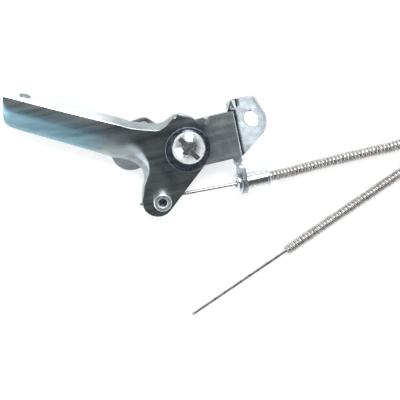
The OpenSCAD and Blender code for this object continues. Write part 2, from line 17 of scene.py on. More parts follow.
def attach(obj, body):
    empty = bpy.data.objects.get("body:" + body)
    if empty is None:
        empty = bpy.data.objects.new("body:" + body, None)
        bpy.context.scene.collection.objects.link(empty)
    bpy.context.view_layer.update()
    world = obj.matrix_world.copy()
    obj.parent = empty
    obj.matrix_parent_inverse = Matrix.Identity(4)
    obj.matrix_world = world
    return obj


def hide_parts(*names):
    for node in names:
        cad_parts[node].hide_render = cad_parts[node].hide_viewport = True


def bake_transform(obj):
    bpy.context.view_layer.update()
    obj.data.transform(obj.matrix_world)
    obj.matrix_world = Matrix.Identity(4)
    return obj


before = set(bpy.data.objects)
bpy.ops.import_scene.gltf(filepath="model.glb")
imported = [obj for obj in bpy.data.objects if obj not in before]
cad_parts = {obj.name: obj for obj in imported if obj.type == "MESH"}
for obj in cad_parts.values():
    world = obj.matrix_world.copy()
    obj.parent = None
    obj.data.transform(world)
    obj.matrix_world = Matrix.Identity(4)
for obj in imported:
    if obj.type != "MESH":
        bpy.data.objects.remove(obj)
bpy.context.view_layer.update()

# %% [markdown]
# ## Units and levels
#
# Blender works in metres, and this part is a few centimetres long, so sizes are written in
# millimetres and turned into metres in one place. The pivot axis is the natural centre of the
# part: most places are given from it.

# %% Units and levels
MM = 0.001
PIVOT = Vector((22.3, -7.2, 0.0))


def at_pivot(x, y, z=0.0):
    """A place in metres, from millimetres measured from the pivot axis at ground level."""
    return (PIVOT + Vector((x, y, z))) * MM


SHEET = 2.0
BASE_LOW = 12.0
BASE_TOP = BASE_LOW + SHEET
LEVER_LOW = BASE_TOP + 1.0
LEVER_TOP = LEVER_LOW + SHEET
WASHER_TOP = LEVER_TOP + 1.5
HEAD_TOP = WASHER_TOP + 6.0
WIRE_Z = 12.6
print("pivot at", tuple(round(v, 4) for v in at_pivot(0, 0)), "lever top at", LEVER_TOP, "mm")

# %% [markdown]
# ## Camera
#
# The photograph looks down from about 72 degrees above the floor, with the frame rolled by 12
# degrees. A long lens keeps the perspective mild, as in a catalogue picture. The view direction
# and the roll are given, and the camera's three axes follow from them.

# %% Camera
CAMERA_PLACE = Vector((8.6, 99.6, 426.1))
CAMERA_LOOK = Vector((0.0315, -0.3150, -0.9486)).normalized()
CAMERA_ROLL = math.radians(12)
LENS = 75.6

roll_up = Vector((math.sin(CAMERA_ROLL), math.cos(CAMERA_ROLL), 0))
camera_up = (roll_up - CAMERA_LOOK * roll_up.dot(CAMERA_LOOK)).normalized()
camera_right = CAMERA_LOOK.cross(camera_up)
camera_turn = Matrix((camera_right, camera_up, -CAMERA_LOOK)).transposed()
bpy.ops.object.camera_add(location=CAMERA_PLACE * MM, rotation=camera_turn.to_euler())
camera = bpy.context.object
camera.name = "camera"
camera.data.lens = LENS
camera.data.clip_start = 0.01
bpy.context.scene.camera = camera
print("camera height:", round(camera.location.z, 3), "m")

# %% [markdown]
# ## Helpers for modelling
#
# Blender's operators act on whatever is selected, and loading the frame leaves its nodes
# selected. So each step starts from nothing selected, and faces are picked in code by their
# place. These few helpers are used by every piece.

# %% Selecting
def select_only(*pieces):
    """Leaves just these pieces selected, the last of them active."""
    if bpy.context.object is not None and bpy.context.object.mode != "OBJECT":
        bpy.ops.object.mode_set(mode="OBJECT")
    bpy.ops.object.select_all(action="DESELECT")
    for piece in pieces:
        piece.select_set(True)
        bpy.context.view_layer.objects.active = piece


def select_faces(piece, wanted):
    """Opens a piece in edit mode with the faces selected that wanted(face) is true for."""
    select_only(piece)
    bpy.ops.object.mode_set(mode="EDIT")
    bpy.ops.mesh.select_mode(type="FACE")
    bpy.ops.mesh.select_all(action="DESELECT")
    bpy.ops.object.mode_set(mode="OBJECT")
    for face in piece.data.polygons:
        face.select = wanted(face)
    bpy.ops.object.mode_set(mode="EDIT")


def close_edit():
    bpy.ops.object.mode_set(mode="OBJECT")


def draw_out(piece, steps, matrix):
    """Extrudes the selected faces step by step, and moves the new corners by a matrix each time."""
    for step in range(steps):
        bpy.ops.object.mode_set(mode="EDIT")
        bpy.ops.mesh.extrude_region_move(TRANSFORM_OT_translate={"value": (0, 0, 0)})
        close_edit()
        for corner in piece.data.vertices:
            if corner.select:
                corner.co = matrix @ corner.co


def clean(piece, gap=0.002):
    """Merges doubled points, drops faces of no area and turns the faces outwards."""
    select_only(piece)
    bpy.ops.object.mode_set(mode="EDIT")
    bpy.ops.mesh.select_all(action="SELECT")
    bpy.ops.mesh.remove_doubles(threshold=gap * MM)
    bpy.ops.mesh.dissolve_degenerate(threshold=gap * MM)
    bpy.ops.mesh.select_all(action="SELECT")
    bpy.ops.mesh.normals_make_consistent(inside=False)
    close_edit()


print("selection helpers ready")

# %% Modifiers and placing
def modify(piece, kind, **settings):
    """Adds a modifier, gives it its settings and applies it."""
    select_only(piece)
    bpy.ops.object.modifier_add(type=kind)
    modifier = piece.modifiers[-1]
    for name, value in settings.items():
        setattr(modifier, name, value)
    bpy.ops.object.modifier_apply(modifier=modifier.name)


def combine(piece, tool, operation):
    """Joins, cuts or keeps the common part of two solids, and removes the tool."""
    modify(piece, "BOOLEAN", operation=operation, object=tool, solver="EXACT")
    bpy.data.objects.remove(tool)


def soften(piece, width, segments=2, angle=40):
    """Rounds the sharp edges by a width in millimetres."""
    modify(piece, "BEVEL", width=width * MM, segments=segments, limit_method="ANGLE",
           angle_limit=math.radians(angle), use_clamp_overlap=True)


def smooth(piece, angle=35):
    select_only(piece)
    bpy.ops.object.shade_smooth_by_angle(angle=math.radians(angle))


def settle(piece, matrix=None):
    """Writes the piece's place into its mesh, so that its object sits at the origin."""
    if matrix is not None:
        piece.data.transform(matrix)
    select_only(piece)
    bpy.ops.object.transform_apply(location=True, rotation=True, scale=True)


def finish_piece(piece, name, body, slot, *nodes):
    """Names a finished piece, puts it on its body and hides the imported nodes that it stands for."""
    piece.name = name
    piece.data.name = name
    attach(piece, body)
    if nodes:
        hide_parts(*nodes)
    print(f"{name}: {len(piece.data.polygons)} faces on {body}")
    return piece


# %% Lathe and round tools
def lathe(outline, steps=72):
    """Turns a closed outline of (radius, height) points in millimetres about the Z axis."""
    select_only()
    bpy.ops.mesh.primitive_circle_add(vertices=len(outline), radius=MM)
    piece = bpy.context.object
    for corner, (radius, height) in zip(piece.data.vertices, outline):
        corner.co = Vector((radius, 0, height)) * MM
    bpy.ops.object.mode_set(mode="EDIT")
    bpy.ops.mesh.select_all(action="SELECT")
    bpy.ops.mesh.spin(steps=steps, angle=math.tau, center=(0, 0, 0), axis=(0, 0, 1))
    close_edit()
    clean(piece)
    return piece


def rod(diameter, length, sides=48, matrix=None):
    """A solid round tool along Z, centred on the origin, then put in its place."""
    select_only()
    bpy.ops.mesh.primitive_cylinder_add(vertices=sides, radius=diameter / 2 * MM, depth=length * MM)
    piece = bpy.context.object
    settle(piece, matrix)
    return piece


def block(low, high, matrix=None):
    """A box tool between two corners in millimetres, then put in its place."""
    select_only()
    low, high = Vector(low), Vector(high)
    bpy.ops.mesh.primitive_cube_add(size=1, location=(low + high) / 2 * MM, scale=(high - low) * MM)
    piece = bpy.context.object
    settle(piece)
    settle(piece, matrix)
    return piece


def moved(x, y, z=0.0):
    return Matrix.Translation(at_pivot(x, y, z))


def turned(degrees, axis):
    return Matrix.Rotation(math.radians(degrees), 4, axis)


print("lathe, rod and block ready")

# %% [markdown]
# ## The conduit's route
#
# The conduit is about a metre of steel wire wound into a flexible tube. It leaves the ferrule
# pointing a little down, sinks to the floor within a few centimetres, runs out of the picture
# and comes back. The length that the picture does not show is wound into a flat coil of two
# layers, the lower one spiralling in and the upper one out, so that no turn runs through
# another. The far end lies straight, with the inner wire standing out of it.

# %% Ferrule axis and route
FERRULE_FACE = Vector((20.1, -26.4, WIRE_Z))
FERRULE_DIP = 13
FERRULE_TURN = 5
FERRULE_LENGTH = 18.0
SEAT_DEPTH = 8.0
CONDUIT_D = 5.8
COIL_MIDDLE = Vector((170.0, 14.3, 0.0))
COIL_LOW = 3.7
COIL_HIGH = COIL_LOW + CONDUIT_D + 0.1
COIL_OUTER_R = 37.0
COIL_INNER_R = 25.0
TURN_PITCH = 6.0
CONDUIT_TIP = Vector((40.6, -73.4, CONDUIT_D / 2))
STRAND_ANGLE = math.radians(22.7)
END_LENGTH = 45.0

ferrule_turn = Matrix.Rotation(-math.radians(FERRULE_TURN), 3, "Z")
ferrule_way = ferrule_turn @ (Matrix.Rotation(math.radians(FERRULE_DIP), 3, "Y") @ Vector((1, 0, 0)))
strand_way = Vector((math.cos(STRAND_ANGLE), math.sin(STRAND_ANGLE), 0))
LEAD_ROUTE = [
    (45, -28.8, 6.4), (51, -29.2, 5.0), (57, -29.4, 3.9), (64, -29.4, 3.1), (72, -29.3, 2.9),
    (84, -29.2, 2.9), (96, -29.1, 2.9), (108, -29.1, 2.9), (116, -27.8, 2.9), (123, -24.2, 2.9),
    (128.6, -18.6, 3.0), (132, -11.6, 3.3), (133, -3.0, 3.7)]
RETURN_ROUTE = [
    (172.5, -21.0, 9.6), (166, -23.5, 9.5), (159, -25.9, 9.1), (152, -28.2, 8.2), (144, -31.0, 6.5),
    (136, -33.9, 4.7), (128, -37.0, 3.4), (120, -40.2, 2.9), (108, -45.2, 2.9)]
print("the conduit leaves the ferrule along", tuple(round(v, 3) for v in ferrule_way))

# %% The coil's turns
LAYER_TURN = 720
CLIMB_START = 670
CLIMB_END = 810
COIL_END = 1327.3
COIL_STEP = 12


def coil_point(turned_by):
    """Where the conduit is after turning by that many degrees in the coil, clockwise."""
    if turned_by <= LAYER_TURN:
        radius = COIL_OUTER_R - TURN_PITCH * turned_by / 360
    else:
        radius = COIL_INNER_R + TURN_PITCH * max(0, turned_by - CLIMB_END) / 360
    share = min(1, max(0, (turned_by - CLIMB_START) / (CLIMB_END - CLIMB_START)))
    height = COIL_LOW + (COIL_HIGH - COIL_LOW) * share * share * (3 - 2 * share)
    angle = math.radians(180 - turned_by)
    return COIL_MIDDLE + Vector((radius * math.cos(angle), radius * math.sin(angle), height))


conduit_route = [FERRULE_FACE + s * ferrule_way for s in
                 (FERRULE_LENGTH - SEAT_DEPTH, FERRULE_LENGTH, FERRULE_LENGTH + 3)]
conduit_route += [Vector(p) for p in LEAD_ROUTE]
coil_steps = int(COIL_END / COIL_STEP)
conduit_route += [coil_point(COIL_END * k / coil_steps) for k in range(coil_steps + 1)]
conduit_route += [Vector(p) for p in RETURN_ROUTE]
conduit_route += [CONDUIT_TIP + s * strand_way for s in (END_LENGTH + 12, END_LENGTH, 20, 0)]
print(len(conduit_route), "points on the conduit's route")

# %% A smooth line through the route
def smooth_line(points, spacing):
    """Points a set distance apart on a smooth curve through the given ones, in millimetres."""
    curve = []
    for i in range(len(points) - 1):
        a = points[max(0, i - 1)]
        b = points[i]
        c = points[i + 1]
        d = points[min(len(points) - 1, i + 2)]
        knots = [0.0]
        for p, q in ((a, b), (b, c), (c, d)):
            knots.append(knots[-1] + max(1e-3, (q - p).length) ** 0.5)
        for k in range(8):
            t = knots[1] + (knots[2] - knots[1]) * k / 8
            ab = a.lerp(b, (t - knots[0]) / (knots[1] - knots[0]))
            bc = b.lerp(c, (t - knots[1]) / (knots[2] - knots[1]))
            cd = c.lerp(d, (t - knots[2]) / (knots[3] - knots[2]))
            abc = ab.lerp(bc, (t - knots[0]) / (knots[2] - knots[0]))
            bcd = bc.lerp(cd, (t - knots[1]) / (knots[3] - knots[1]))
            curve.append(abc.lerp(bcd, (t - knots[1]) / (knots[2] - knots[1])))
    curve.append(points[-1])
    return even_line(curve, spacing)


def even_line(curve, spacing):
    """The same line with its points evenly spaced."""
    lengths = [0.0]
    for p, q in zip(curve, curve[1:]):
        lengths.append(lengths[-1] + (q - p).length)
    count = max(2, round(lengths[-1] / spacing))
    even = []
    at = 0
    for k in range(count + 1):
        s = lengths[-1] * k / count
        while at < len(curve) - 2 and lengths[at + 1] < s:
            at += 1
        part = (s - lengths[at]) / max(1e-9, lengths[at + 1] - lengths[at])
        even.append(curve[at].lerp(curve[at + 1], min(1, max(0, part))))
    return even


def line_length(line):
    return sum((q - p).length for p, q in zip(line, line[1:]))


conduit_line = smooth_line(conduit_route, 1.0)
CONDUIT_LENGTH = line_length(conduit_line)
print("the conduit is", round(CONDUIT_LENGTH), "mm long")

# %% [markdown]
# ## The wound wire of the conduit
#
# A real conduit is one stiff wire wound tight, so its surface is a helix of rounded ridges. A
# bump pattern would vanish at the outline, so the ridges are real geometry. One thin strip with
# the section of a wire is carried round and round the route: each turn's last edge is the next
# turn's first edge, so the strip closes into a tube by itself. The open end shows the bore with
# the inner wire in it, so the tube turns in and runs a little way back inside.

# %% Frames along a line
def carried_frames(line):
    """For each point: the direction, and two directions across that turn as little as possible."""
    frames = []
    across = None
    for i, point in enumerate(line):
        ahead = (line[min(i + 1, len(line) - 1)] - line[max(i - 1, 0)]).normalized()
        if across is None:
            across = Vector((0, 0, 1)).cross(ahead).normalized()
        across = (across - ahead * across.dot(ahead)).normalized()
        frames.append((point, ahead, across, ahead.cross(across)))
    return frames


def place_on(frames, spacing, s, angle, radius):
    """A point at distance s along the line, turned by an angle about it, a radius away."""
    u = min(max(s / spacing, 0), len(frames) - 1.001)
    i = int(u)
    t = u - i
    middle = frames[i][0].lerp(frames[i + 1][0], t)
    across = frames[i][2].lerp(frames[i + 1][2], t)
    up = frames[i][3].lerp(frames[i + 1][3], t)
    return middle + radius * (math.cos(angle) * across + math.sin(angle) * up)


conduit_frames = carried_frames(conduit_line)
conduit_spacing = CONDUIT_LENGTH / (len(conduit_line) - 1)
print(len(conduit_frames), "frames along the conduit")

# %% Wind the wire
RIDGE_PITCH = 2.0
RIDGE_SHAPE = ((0.0, 2.25), (0.1, 2.62), (0.3, 2.87), (0.5, 2.9), (0.7, 2.87), (0.9, 2.62))
AROUND = 16
BORE_R = 1.4
BORE_DEEP = 12.0


def ridge_radius(turns):
    """Radius of the wound wire's surface, with the distance across it given in turns of wire."""
    part = turns % 1
    shape = RIDGE_SHAPE + ((1.0, RIDGE_SHAPE[0][1]),)
    for (low, a), (high, b) in zip(shape, shape[1:]):
        if part <= high:
            return a + (b - a) * (part - low) / (high - low)
    return shape[-1][1]


def wound_tube(frames, spacing, length):
    """Points and faces of a tube wound from one wire, open at its far end."""
    points, faces = [], []
    rows = len(RIDGE_SHAPE) * (int(length / RIDGE_PITCH) + 4)
    row_step = len(RIDGE_SHAPE)
    for i in range(rows):
        for j in range(AROUND):
            turn = i // row_step - 2 + RIDGE_SHAPE[i % row_step][0] + j / AROUND
            s = min(length, max(0, turn * RIDGE_PITCH))
            radius = ridge_radius(s / RIDGE_PITCH - j / AROUND)
            points.append(place_on(frames, spacing, s, math.tau * j / AROUND, radius))
    for i in range(rows - 1):
        for j in range(AROUND):
            a = i * AROUND + j
            b = a + 1 if j < AROUND - 1 else (i + row_step) * AROUND
            if b + AROUND < len(points):
                faces.append((a, b, b + AROUND, a + AROUND))
    return points, faces


wound_points, wound_faces = wound_tube(conduit_frames, conduit_spacing, CONDUIT_LENGTH)
print(round(CONDUIT_LENGTH / RIDGE_PITCH), "turns of wire,", len(wound_faces), "faces")

# %% [markdown]
# ## Finishes
#
# Nearly everything here is bare or zinc-plated steel. Plated sheet is never one even grey: the
# zinc grows in soft clouds, the passivation adds a cold blue here and there, and handling leaves
# faint streaks. So every finish mixes a few close colours by noise on Object coordinates, which
# stay fixed to the piece, and lets the same noise move the roughness and a very small bump.

# %% Node helpers
def new_finish(name, metallic=1.0):
    """A material with its shader, and a helper to add nodes to it."""
    material = bpy.data.materials.new(name)
    material.use_nodes = True
    shader = material.node_tree.nodes["Principled BSDF"]
    shader.inputs["Metallic"].default_value = metallic
    return material, shader


def add_node(material, kind, **settings):
    node = material.node_tree.nodes.new(kind)
    for name, value in settings.items():
        if name in node.inputs:
            node.inputs[name].default_value = value
        else:
            setattr(node, name, value)
    return node


def link(material, source, target):
    material.node_tree.links.new(source, target)


def clouds(material, scale, detail=4.0, stretch=(1, 1, 1), turn=(0, 0, 0), distortion=0.0):
    """Soft noise fixed to the piece. A stretch below one draws it out along that axis."""
    coords = add_node(material, "ShaderNodeTexCoord")
    mapping = add_node(material, "ShaderNodeMapping", Rotation=turn, Scale=stretch)
    link(material, coords.outputs["Object"], mapping.inputs["Vector"])
    noise = add_node(material, "ShaderNodeTexNoise", Scale=scale, Detail=detail, Distortion=distortion)
    link(material, mapping.outputs["Vector"], noise.inputs["Vector"])
    return noise.outputs["Fac"]


def ramp(material, factor, *stops):
    """Colours placed along a factor from 0 to 1."""
    node = add_node(material, "ShaderNodeValToRGB")
    elements = node.color_ramp.elements
    while len(elements) < len(stops):
        elements.new(0.5)
    for element, (place, colour) in zip(elements, stops):
        element.position = place
        element.color = (*colour, 1)
    link(material, factor, node.inputs["Fac"])
    return node.outputs["Color"]


def level(material, factor, low, high):
    """Turns a 0 to 1 factor into a number between two values."""
    node = add_node(material, "ShaderNodeMapRange")
    node.inputs["From Min"].default_value = 0.3
    node.inputs["From Max"].default_value = 0.7
    node.inputs["To Min"].default_value = low
    node.inputs["To Max"].default_value = high
    link(material, factor, node.inputs["Value"])
    return node.outputs["Result"]


def mix(material, factor, first, second, blend="MIX"):
    node = add_node(material, "ShaderNodeMix", data_type="RGBA", blend_type=blend)
    if isinstance(factor, float):
        node.inputs[0].default_value = factor
    else:
        link(material, factor, node.inputs[0])
    for socket, value in ((node.inputs[6], first), (node.inputs[7], second)):
        if isinstance(value, tuple):
            socket.default_value = (*value, 1)
        else:
            link(material, value, socket)
    return node.outputs[2]


def bumps(material, shader, factor, distance):
    node = add_node(material, "ShaderNodeBump", Strength=0.6, Distance=distance * MM)
    link(material, factor, node.inputs["Height"])
    link(material, node.outputs["Normal"], shader.inputs["Normal"])


print("node helpers ready")

# %% Zinc on the bracket
def zinc_sheet():
    """Dull blue-grey plating with cloudy patches and faint rolling streaks."""
    material, shader = new_finish("zinc_sheet")
    patches = clouds(material, 170, detail=6, distortion=0.6)
    grain = clouds(material, 1500, detail=3)
    streaks = clouds(material, 260, detail=4, stretch=(0.12, 1, 1))
    base = ramp(material, patches, (0.32, (0.30, 0.34, 0.36)), (0.5, (0.44, 0.49, 0.52)),
                (0.68, (0.56, 0.62, 0.66)))
    base = mix(material, 0.35, base, ramp(material, grain, (0.35, (0.30, 0.32, 0.32)),
                                          (0.65, (0.66, 0.70, 0.72))))
    link(material, base, shader.inputs["Base Color"])
    link(material, level(material, streaks, 0.34, 0.5), shader.inputs["Roughness"])
    bumps(material, shader, grain, 0.03)
    return material


# %% Zinc on the lever
HANDLE_ANGLE = 150.8


def across_handle(material, low, high):
    """A factor from 0 to 1 across the handle, from a low to a high distance in millimetres."""
    coords = add_node(material, "ShaderNodeTexCoord")
    mapping = add_node(material, "ShaderNodeMapping", vector_type="TEXTURE",
                       Location=at_pivot(-39.5, 13.9), Rotation=(0, 0, math.radians(HANDLE_ANGLE - 180)))
    link(material, coords.outputs["Object"], mapping.inputs["Vector"])
    parts = add_node(material, "ShaderNodeSeparateXYZ")
    link(material, mapping.outputs["Vector"], parts.inputs["Vector"])
    node = add_node(material, "ShaderNodeMapRange")
    node.inputs["From Min"].default_value = low * MM
    node.inputs["From Max"].default_value = high * MM
    link(material, parts.outputs["Y"], node.inputs["Value"])
    return node.outputs["Result"], parts.outputs["X"]


def zinc_lever_with_painted_highlight():
    """Smoother plating. Across the handle the colour runs from a darker teal on the curved lower side, partly a
    passivation tint where the zinc thins and partly a painted dark reflection, to pale grey and near white along
    the upper fold, a painted highlight.
    """
    material, shader = new_finish("zinc_lever_with_painted_highlight")
    patches = clouds(material, 90, detail=5, distortion=0.4)
    grain = clouds(material, 1800, detail=2)
    drawn = clouds(material, 300, detail=3, stretch=(0.06, 1, 1), turn=(0, 0, math.radians(29)))
    across, along = across_handle(material, -11, 11)
    # Across the handle: darker teal toward the lower side, partly passivation tint and partly painted dark
    # reflection, rising to a pale painted highlight along the upper fold.
    handle_tint_and_painted_highlight = ramp(material, across, (0.0, (0.30, 0.46, 0.54)), (0.12, (0.13, 0.29, 0.37)),
                (0.52, (0.17, 0.34, 0.42)), (0.70, (0.55, 0.66, 0.68)), (0.86, (0.80, 0.86, 0.88)))
    plate = ramp(material, patches, (0.30, (0.20, 0.22, 0.23)), (0.50, (0.30, 0.34, 0.35)),
                 (0.70, (0.42, 0.47, 0.48)))
    reach = add_node(material, "ShaderNodeMapRange", interpolation_type="SMOOTHSTEP")
    reach.inputs["From Min"].default_value = 6 * MM
    reach.inputs["From Max"].default_value = -10 * MM
    link(material, along, reach.inputs["Value"])
    base = mix(material, reach.outputs["Result"], plate, handle_tint_and_painted_highlight)
    base = mix(material, 0.2, base, ramp(material, drawn, (0.35, (0.18, 0.22, 0.24)),
                                         (0.65, (0.62, 0.68, 0.70))))
    link(material, base, shader.inputs["Base Color"])
    link(material, level(material, drawn, 0.24, 0.34), shader.inputs["Roughness"])
    bumps(material, shader, grain, 0.01)
    return material


# %% Turned and plain steels
def speckled_steel(name, dark, light, rough_low, rough_high, scale=500, bump=0.01, metallic=1.0,
                   stretch=(1, 1, 1)):
    """Steel of two close tones, with fine marks that move its roughness too."""
    material, shader = new_finish(name, metallic)
    marks = clouds(material, scale, detail=5, stretch=stretch, distortion=0.3)
    grain = clouds(material, scale * 5, detail=2)
    base = ramp(material, marks, (0.35, dark), (0.65, light))
    link(material, base, shader.inputs["Base Color"])
    link(material, level(material, marks, rough_low, rough_high), shader.inputs["Roughness"])
    bumps(material, shader, grain, bump)
    return material


def moulded_nylon(name, colour, sheen):
    """Moulded plastic: an even colour with a fine pebbled skin and duller worn spots."""
    material, shader = new_finish(name, metallic=0.0)
    pebbles = clouds(material, 2600, detail=2)
    worn = clouds(material, 220, detail=4)
    base = ramp(material, worn, (0.4, colour), (0.75, tuple(min(1, 1.5 * c + 0.02) for c in colour)))
    link(material, base, shader.inputs["Base Color"])
    link(material, level(material, worn, sheen, sheen + 0.15), shader.inputs["Roughness"])
    bumps(material, shader, pebbles, 0.02)
    return material


FINISHES = {
    "zinc_sheet": zinc_sheet(),
    "zinc_lever_with_painted_highlight": zinc_lever_with_painted_highlight(),
    "bright_steel": speckled_steel("bright_steel", (0.62, 0.66, 0.68), (0.82, 0.85, 0.86), 0.12, 0.22),
    "dark_steel": speckled_steel("dark_steel", (0.14, 0.17, 0.21), (0.26, 0.30, 0.35), 0.22, 0.36),
    "white_zinc": speckled_steel("white_zinc", (0.74, 0.79, 0.81), (0.90, 0.93, 0.94), 0.30, 0.42),
    "bronze": speckled_steel("bronze", (0.34, 0.25, 0.14), (0.52, 0.40, 0.24), 0.35, 0.5),
    "wire_steel": speckled_steel("wire_steel", (0.40, 0.39, 0.38), (0.66, 0.65, 0.63), 0.18, 0.3),
    "conduit_steel": speckled_steel("conduit_steel", (0.36, 0.35, 0.34), (0.62, 0.61, 0.59), 0.22, 0.36),
    "black_nylon": moulded_nylon("black_nylon", (0.012, 0.012, 0.013), 0.42),
    "blue_nylon": moulded_nylon("blue_nylon", (0.02, 0.07, 0.32), 0.35),
}


def paint(piece, finish):
    piece.data.materials.clear()
    piece.data.materials.append(FINISHES[finish])


print(len(FINISHES), "finishes")

# %% [markdown]
# ## The conduit as a piece
#
# The strip becomes a mesh, and its two ends are closed: the near end lies in the ferrule, and the
# far end gets a bore that a finger could feel. The end face is inset and pushed back inside.

# %% Conduit
conduit_mesh = bpy.data.meshes.new("conduit")
conduit_mesh.from_pydata([p + PIVOT for p in wound_points], [], wound_faces)
conduit_mesh.transform(Matrix.Scale(MM, 4))
conduit = bpy.data.objects.new("conduit", conduit_mesh)
bpy.context.scene.collection.objects.link(conduit)
clean(conduit, gap=0.001)
select_only(conduit)
bpy.ops.object.mode_set(mode="EDIT")
bpy.ops.mesh.select_mode(type="EDGE")
bpy.ops.mesh.select_all(action="DESELECT")
bpy.ops.mesh.select_non_manifold(extend=False, use_wire=True, use_boundary=True,
                                 use_multi_face=False, use_non_contiguous=False, use_verts=False)
bpy.ops.mesh.edge_face_add()
close_edit()
caps = [f for f in conduit.data.polygons if len(f.vertices) > 4]
print("caps on the conduit:", len(caps), "with", [len(f.vertices) for f in caps], "corners")

# %% Open far end
tip_place = (CONDUIT_TIP + PIVOT) * MM


def near_tip(face):
    return len(face.vertices) > 4 and (face.center - tip_place).length < 1 * MM


select_faces(conduit, near_tip)
bpy.ops.mesh.inset(thickness=0.6 * MM)
close_edit()
for corner in conduit.data.vertices:
    if corner.select:
        out = corner.co - tip_place
        corner.co = tip_place + out.normalized() * BORE_R * MM
select_faces(conduit, lambda f: len(f.vertices) > 4 and near_tip(f))
bpy.ops.mesh.extrude_region_move(TRANSFORM_OT_translate={"value": strand_way * BORE_DEEP * MM})
close_edit()
smooth(conduit, 75)
paint(conduit, "conduit_steel")
finish_piece(conduit, "conduit", "base", "conduit_steel",
             "conduit_lead", "conduit_coil", "conduit_return", "conduit_end")
print("triangles:", sum(len(f.vertices) - 2 for f in conduit.data.polygons))

# %% [markdown]
# ## The inner wire
#
# One stiff wire runs through everything. Three stretches of it show. Behind the swivel a short
# tail stands out, bent aside by the pliers that pulled it tight. Between swivel and ferrule it is
# bare, and it has to bend when the lever turns; here that stretch is a straight bar in the world
# frame. At the far end it stands out of the conduit and slides with the lever.

# %% Round bar along a line
def round_bar(line, radius, sides=16, end_round=0.3):
    """A round bar along a line in millimetres, drawn out ring by ring, with eased ends."""
    frames = carried_frames(line)
    rings = []
    for point, ahead, across, up in frames:
        rings.append([point + radius * (math.cos(math.tau * k / sides) * across
                                        + math.sin(math.tau * k / sides) * up) for k in range(sides)])
    for ring, (point, ahead, across, up), sign in ((rings[0], frames[0], -1), (rings[-1], frames[-1], 1)):
        eased = [point + sign * end_round * ahead + (corner - point) * (1 - end_round / radius)
                 for corner in ring]
        if sign < 0:
            rings.insert(0, eased)
        else:
            rings.append(eased)
    select_only()
    bpy.ops.mesh.primitive_grid_add(x_subdivisions=sides, y_subdivisions=len(rings) - 1, size=MM)
    piece = bpy.context.object
    for row, ring in enumerate(rings):
        for column in range(sides + 1):
            corner = piece.data.vertices[row * (sides + 1) + column]
            corner.co = (ring[column % sides] + PIVOT) * MM
    clean(piece)
    close_holes(piece)
    return piece


def close_holes(piece):
    select_only(piece)
    bpy.ops.object.mode_set(mode="EDIT")
    bpy.ops.mesh.select_mode(type="EDGE")
    bpy.ops.mesh.select_all(action="DESELECT")
    bpy.ops.mesh.select_non_manifold(extend=False, use_wire=False, use_boundary=True,
                                     use_multi_face=False, use_non_contiguous=False, use_verts=False)
    bpy.ops.mesh.edge_face_add()
    bpy.ops.mesh.select_all(action="SELECT")
    bpy.ops.mesh.normals_make_consistent(inside=False)
    close_edit()


print("round_bar ready")

# %% Wire pieces
WIRE_R = 0.9
SWIVEL = Vector((-18.9, -24.6, WIRE_Z))
WIRE_TAIL = 7.8
TAIL_BEND = 12
TAIL_BACK = 4
WIRE_OUT = 62.7
WIRE_HIDDEN = 31.0

span_way = (FERRULE_FACE - SWIVEL).normalized()
bend_at = SWIVEL - TAIL_BACK * span_way
tail_way = Matrix.Rotation(math.radians(TAIL_BEND), 3, "Z") @ -span_way
tail_line = [bend_at + WIRE_TAIL * tail_way, bend_at + 1.5 * tail_way, bend_at, bend_at - 1.0 * tail_way * 0.2,
             SWIVEL - 2.0 * span_way, SWIVEL + 3.0 * span_way]
tail_line = smooth_line([tail_line[0], bend_at + 2 * tail_way, bend_at - 0.0 * tail_way + 0.1 * span_way,
                         SWIVEL - 1.5 * span_way, SWIVEL + 3.0 * span_way], 0.8)
tail = round_bar(tail_line, WIRE_R)
smooth(tail, 50)
paint(tail, "wire_steel")
finish_piece(tail, "wire_tail", "swivel", "wire_steel")

bow_line = even_line([SWIVEL + 2.0 * span_way, FERRULE_FACE + 3.0 * span_way], 1.0)
bow = round_bar(bow_line, WIRE_R)
smooth(bow, 50)
paint(bow, "wire_steel")
bow.name = bow.data.name = "wire_bow"
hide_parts("wire_span")
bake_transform(bow)

free_line = even_line([CONDUIT_TIP - WIRE_OUT * strand_way, CONDUIT_TIP + WIRE_HIDDEN * strand_way], 2.0)
free_wire = round_bar(free_line, WIRE_R, end_round=0.35)
smooth(free_wire, 50)
paint(free_wire, "wire_steel")
finish_piece(free_wire, "wire_free", "free_wire", "wire_steel", "wire_free_end")

# %% [markdown]
# ## Ties round the coil
#
# Two nylon straps keep the coil together. A strap pulled tight takes the shape of a rubber band
# round the turns that it holds, which is the convex hull of their sections. The hull is found
# from circles drawn where the turns pass, and the strap is that ring given a width.

# %% Strap outline
TIE_W = 4.0
TIE_T = 0.8
TIE_ANGLES = {"coil_tie_a": 45, "coil_tie_b": 225}


def turns_at(angle):
    """Where the coil's turns pass at an angle round it: (radius, height) in millimetres."""
    passes = []
    turned_by = (180 - angle) % 360
    while turned_by < COIL_END:
        p = coil_point(turned_by) - COIL_MIDDLE
        passes.append((math.hypot(p.x, p.y), p.z))
        turned_by += 360
    return passes


def hull(points):
    """The convex outline of flat points, anticlockwise."""
    points = sorted(set(points))

    def half(order):
        chain = []
        for p in order:
            while len(chain) > 1 and ((chain[-1][0] - chain[-2][0]) * (p[1] - chain[-2][1])
                                      <= (chain[-1][1] - chain[-2][1]) * (p[0] - chain[-2][0])):
                chain.pop()
            chain.append(p)
        return chain[:-1]
    return half(points) + half(points[::-1])


def strap_ring(angle, gap):
    circles = [(r + (CONDUIT_D / 2 + gap) * math.cos(math.tau * k / 32),
                z + (CONDUIT_D / 2 + gap) * math.sin(math.tau * k / 32))
               for r, z in turns_at(angle) for k in range(32)]
    return hull([(round(r, 4), round(max(z, -gap + 0.8 + 0.01 * 0), 4)) for r, z in circles])


print("turns held by each tie:", {name: len(turns_at(a)) for name, a in TIE_ANGLES.items()})

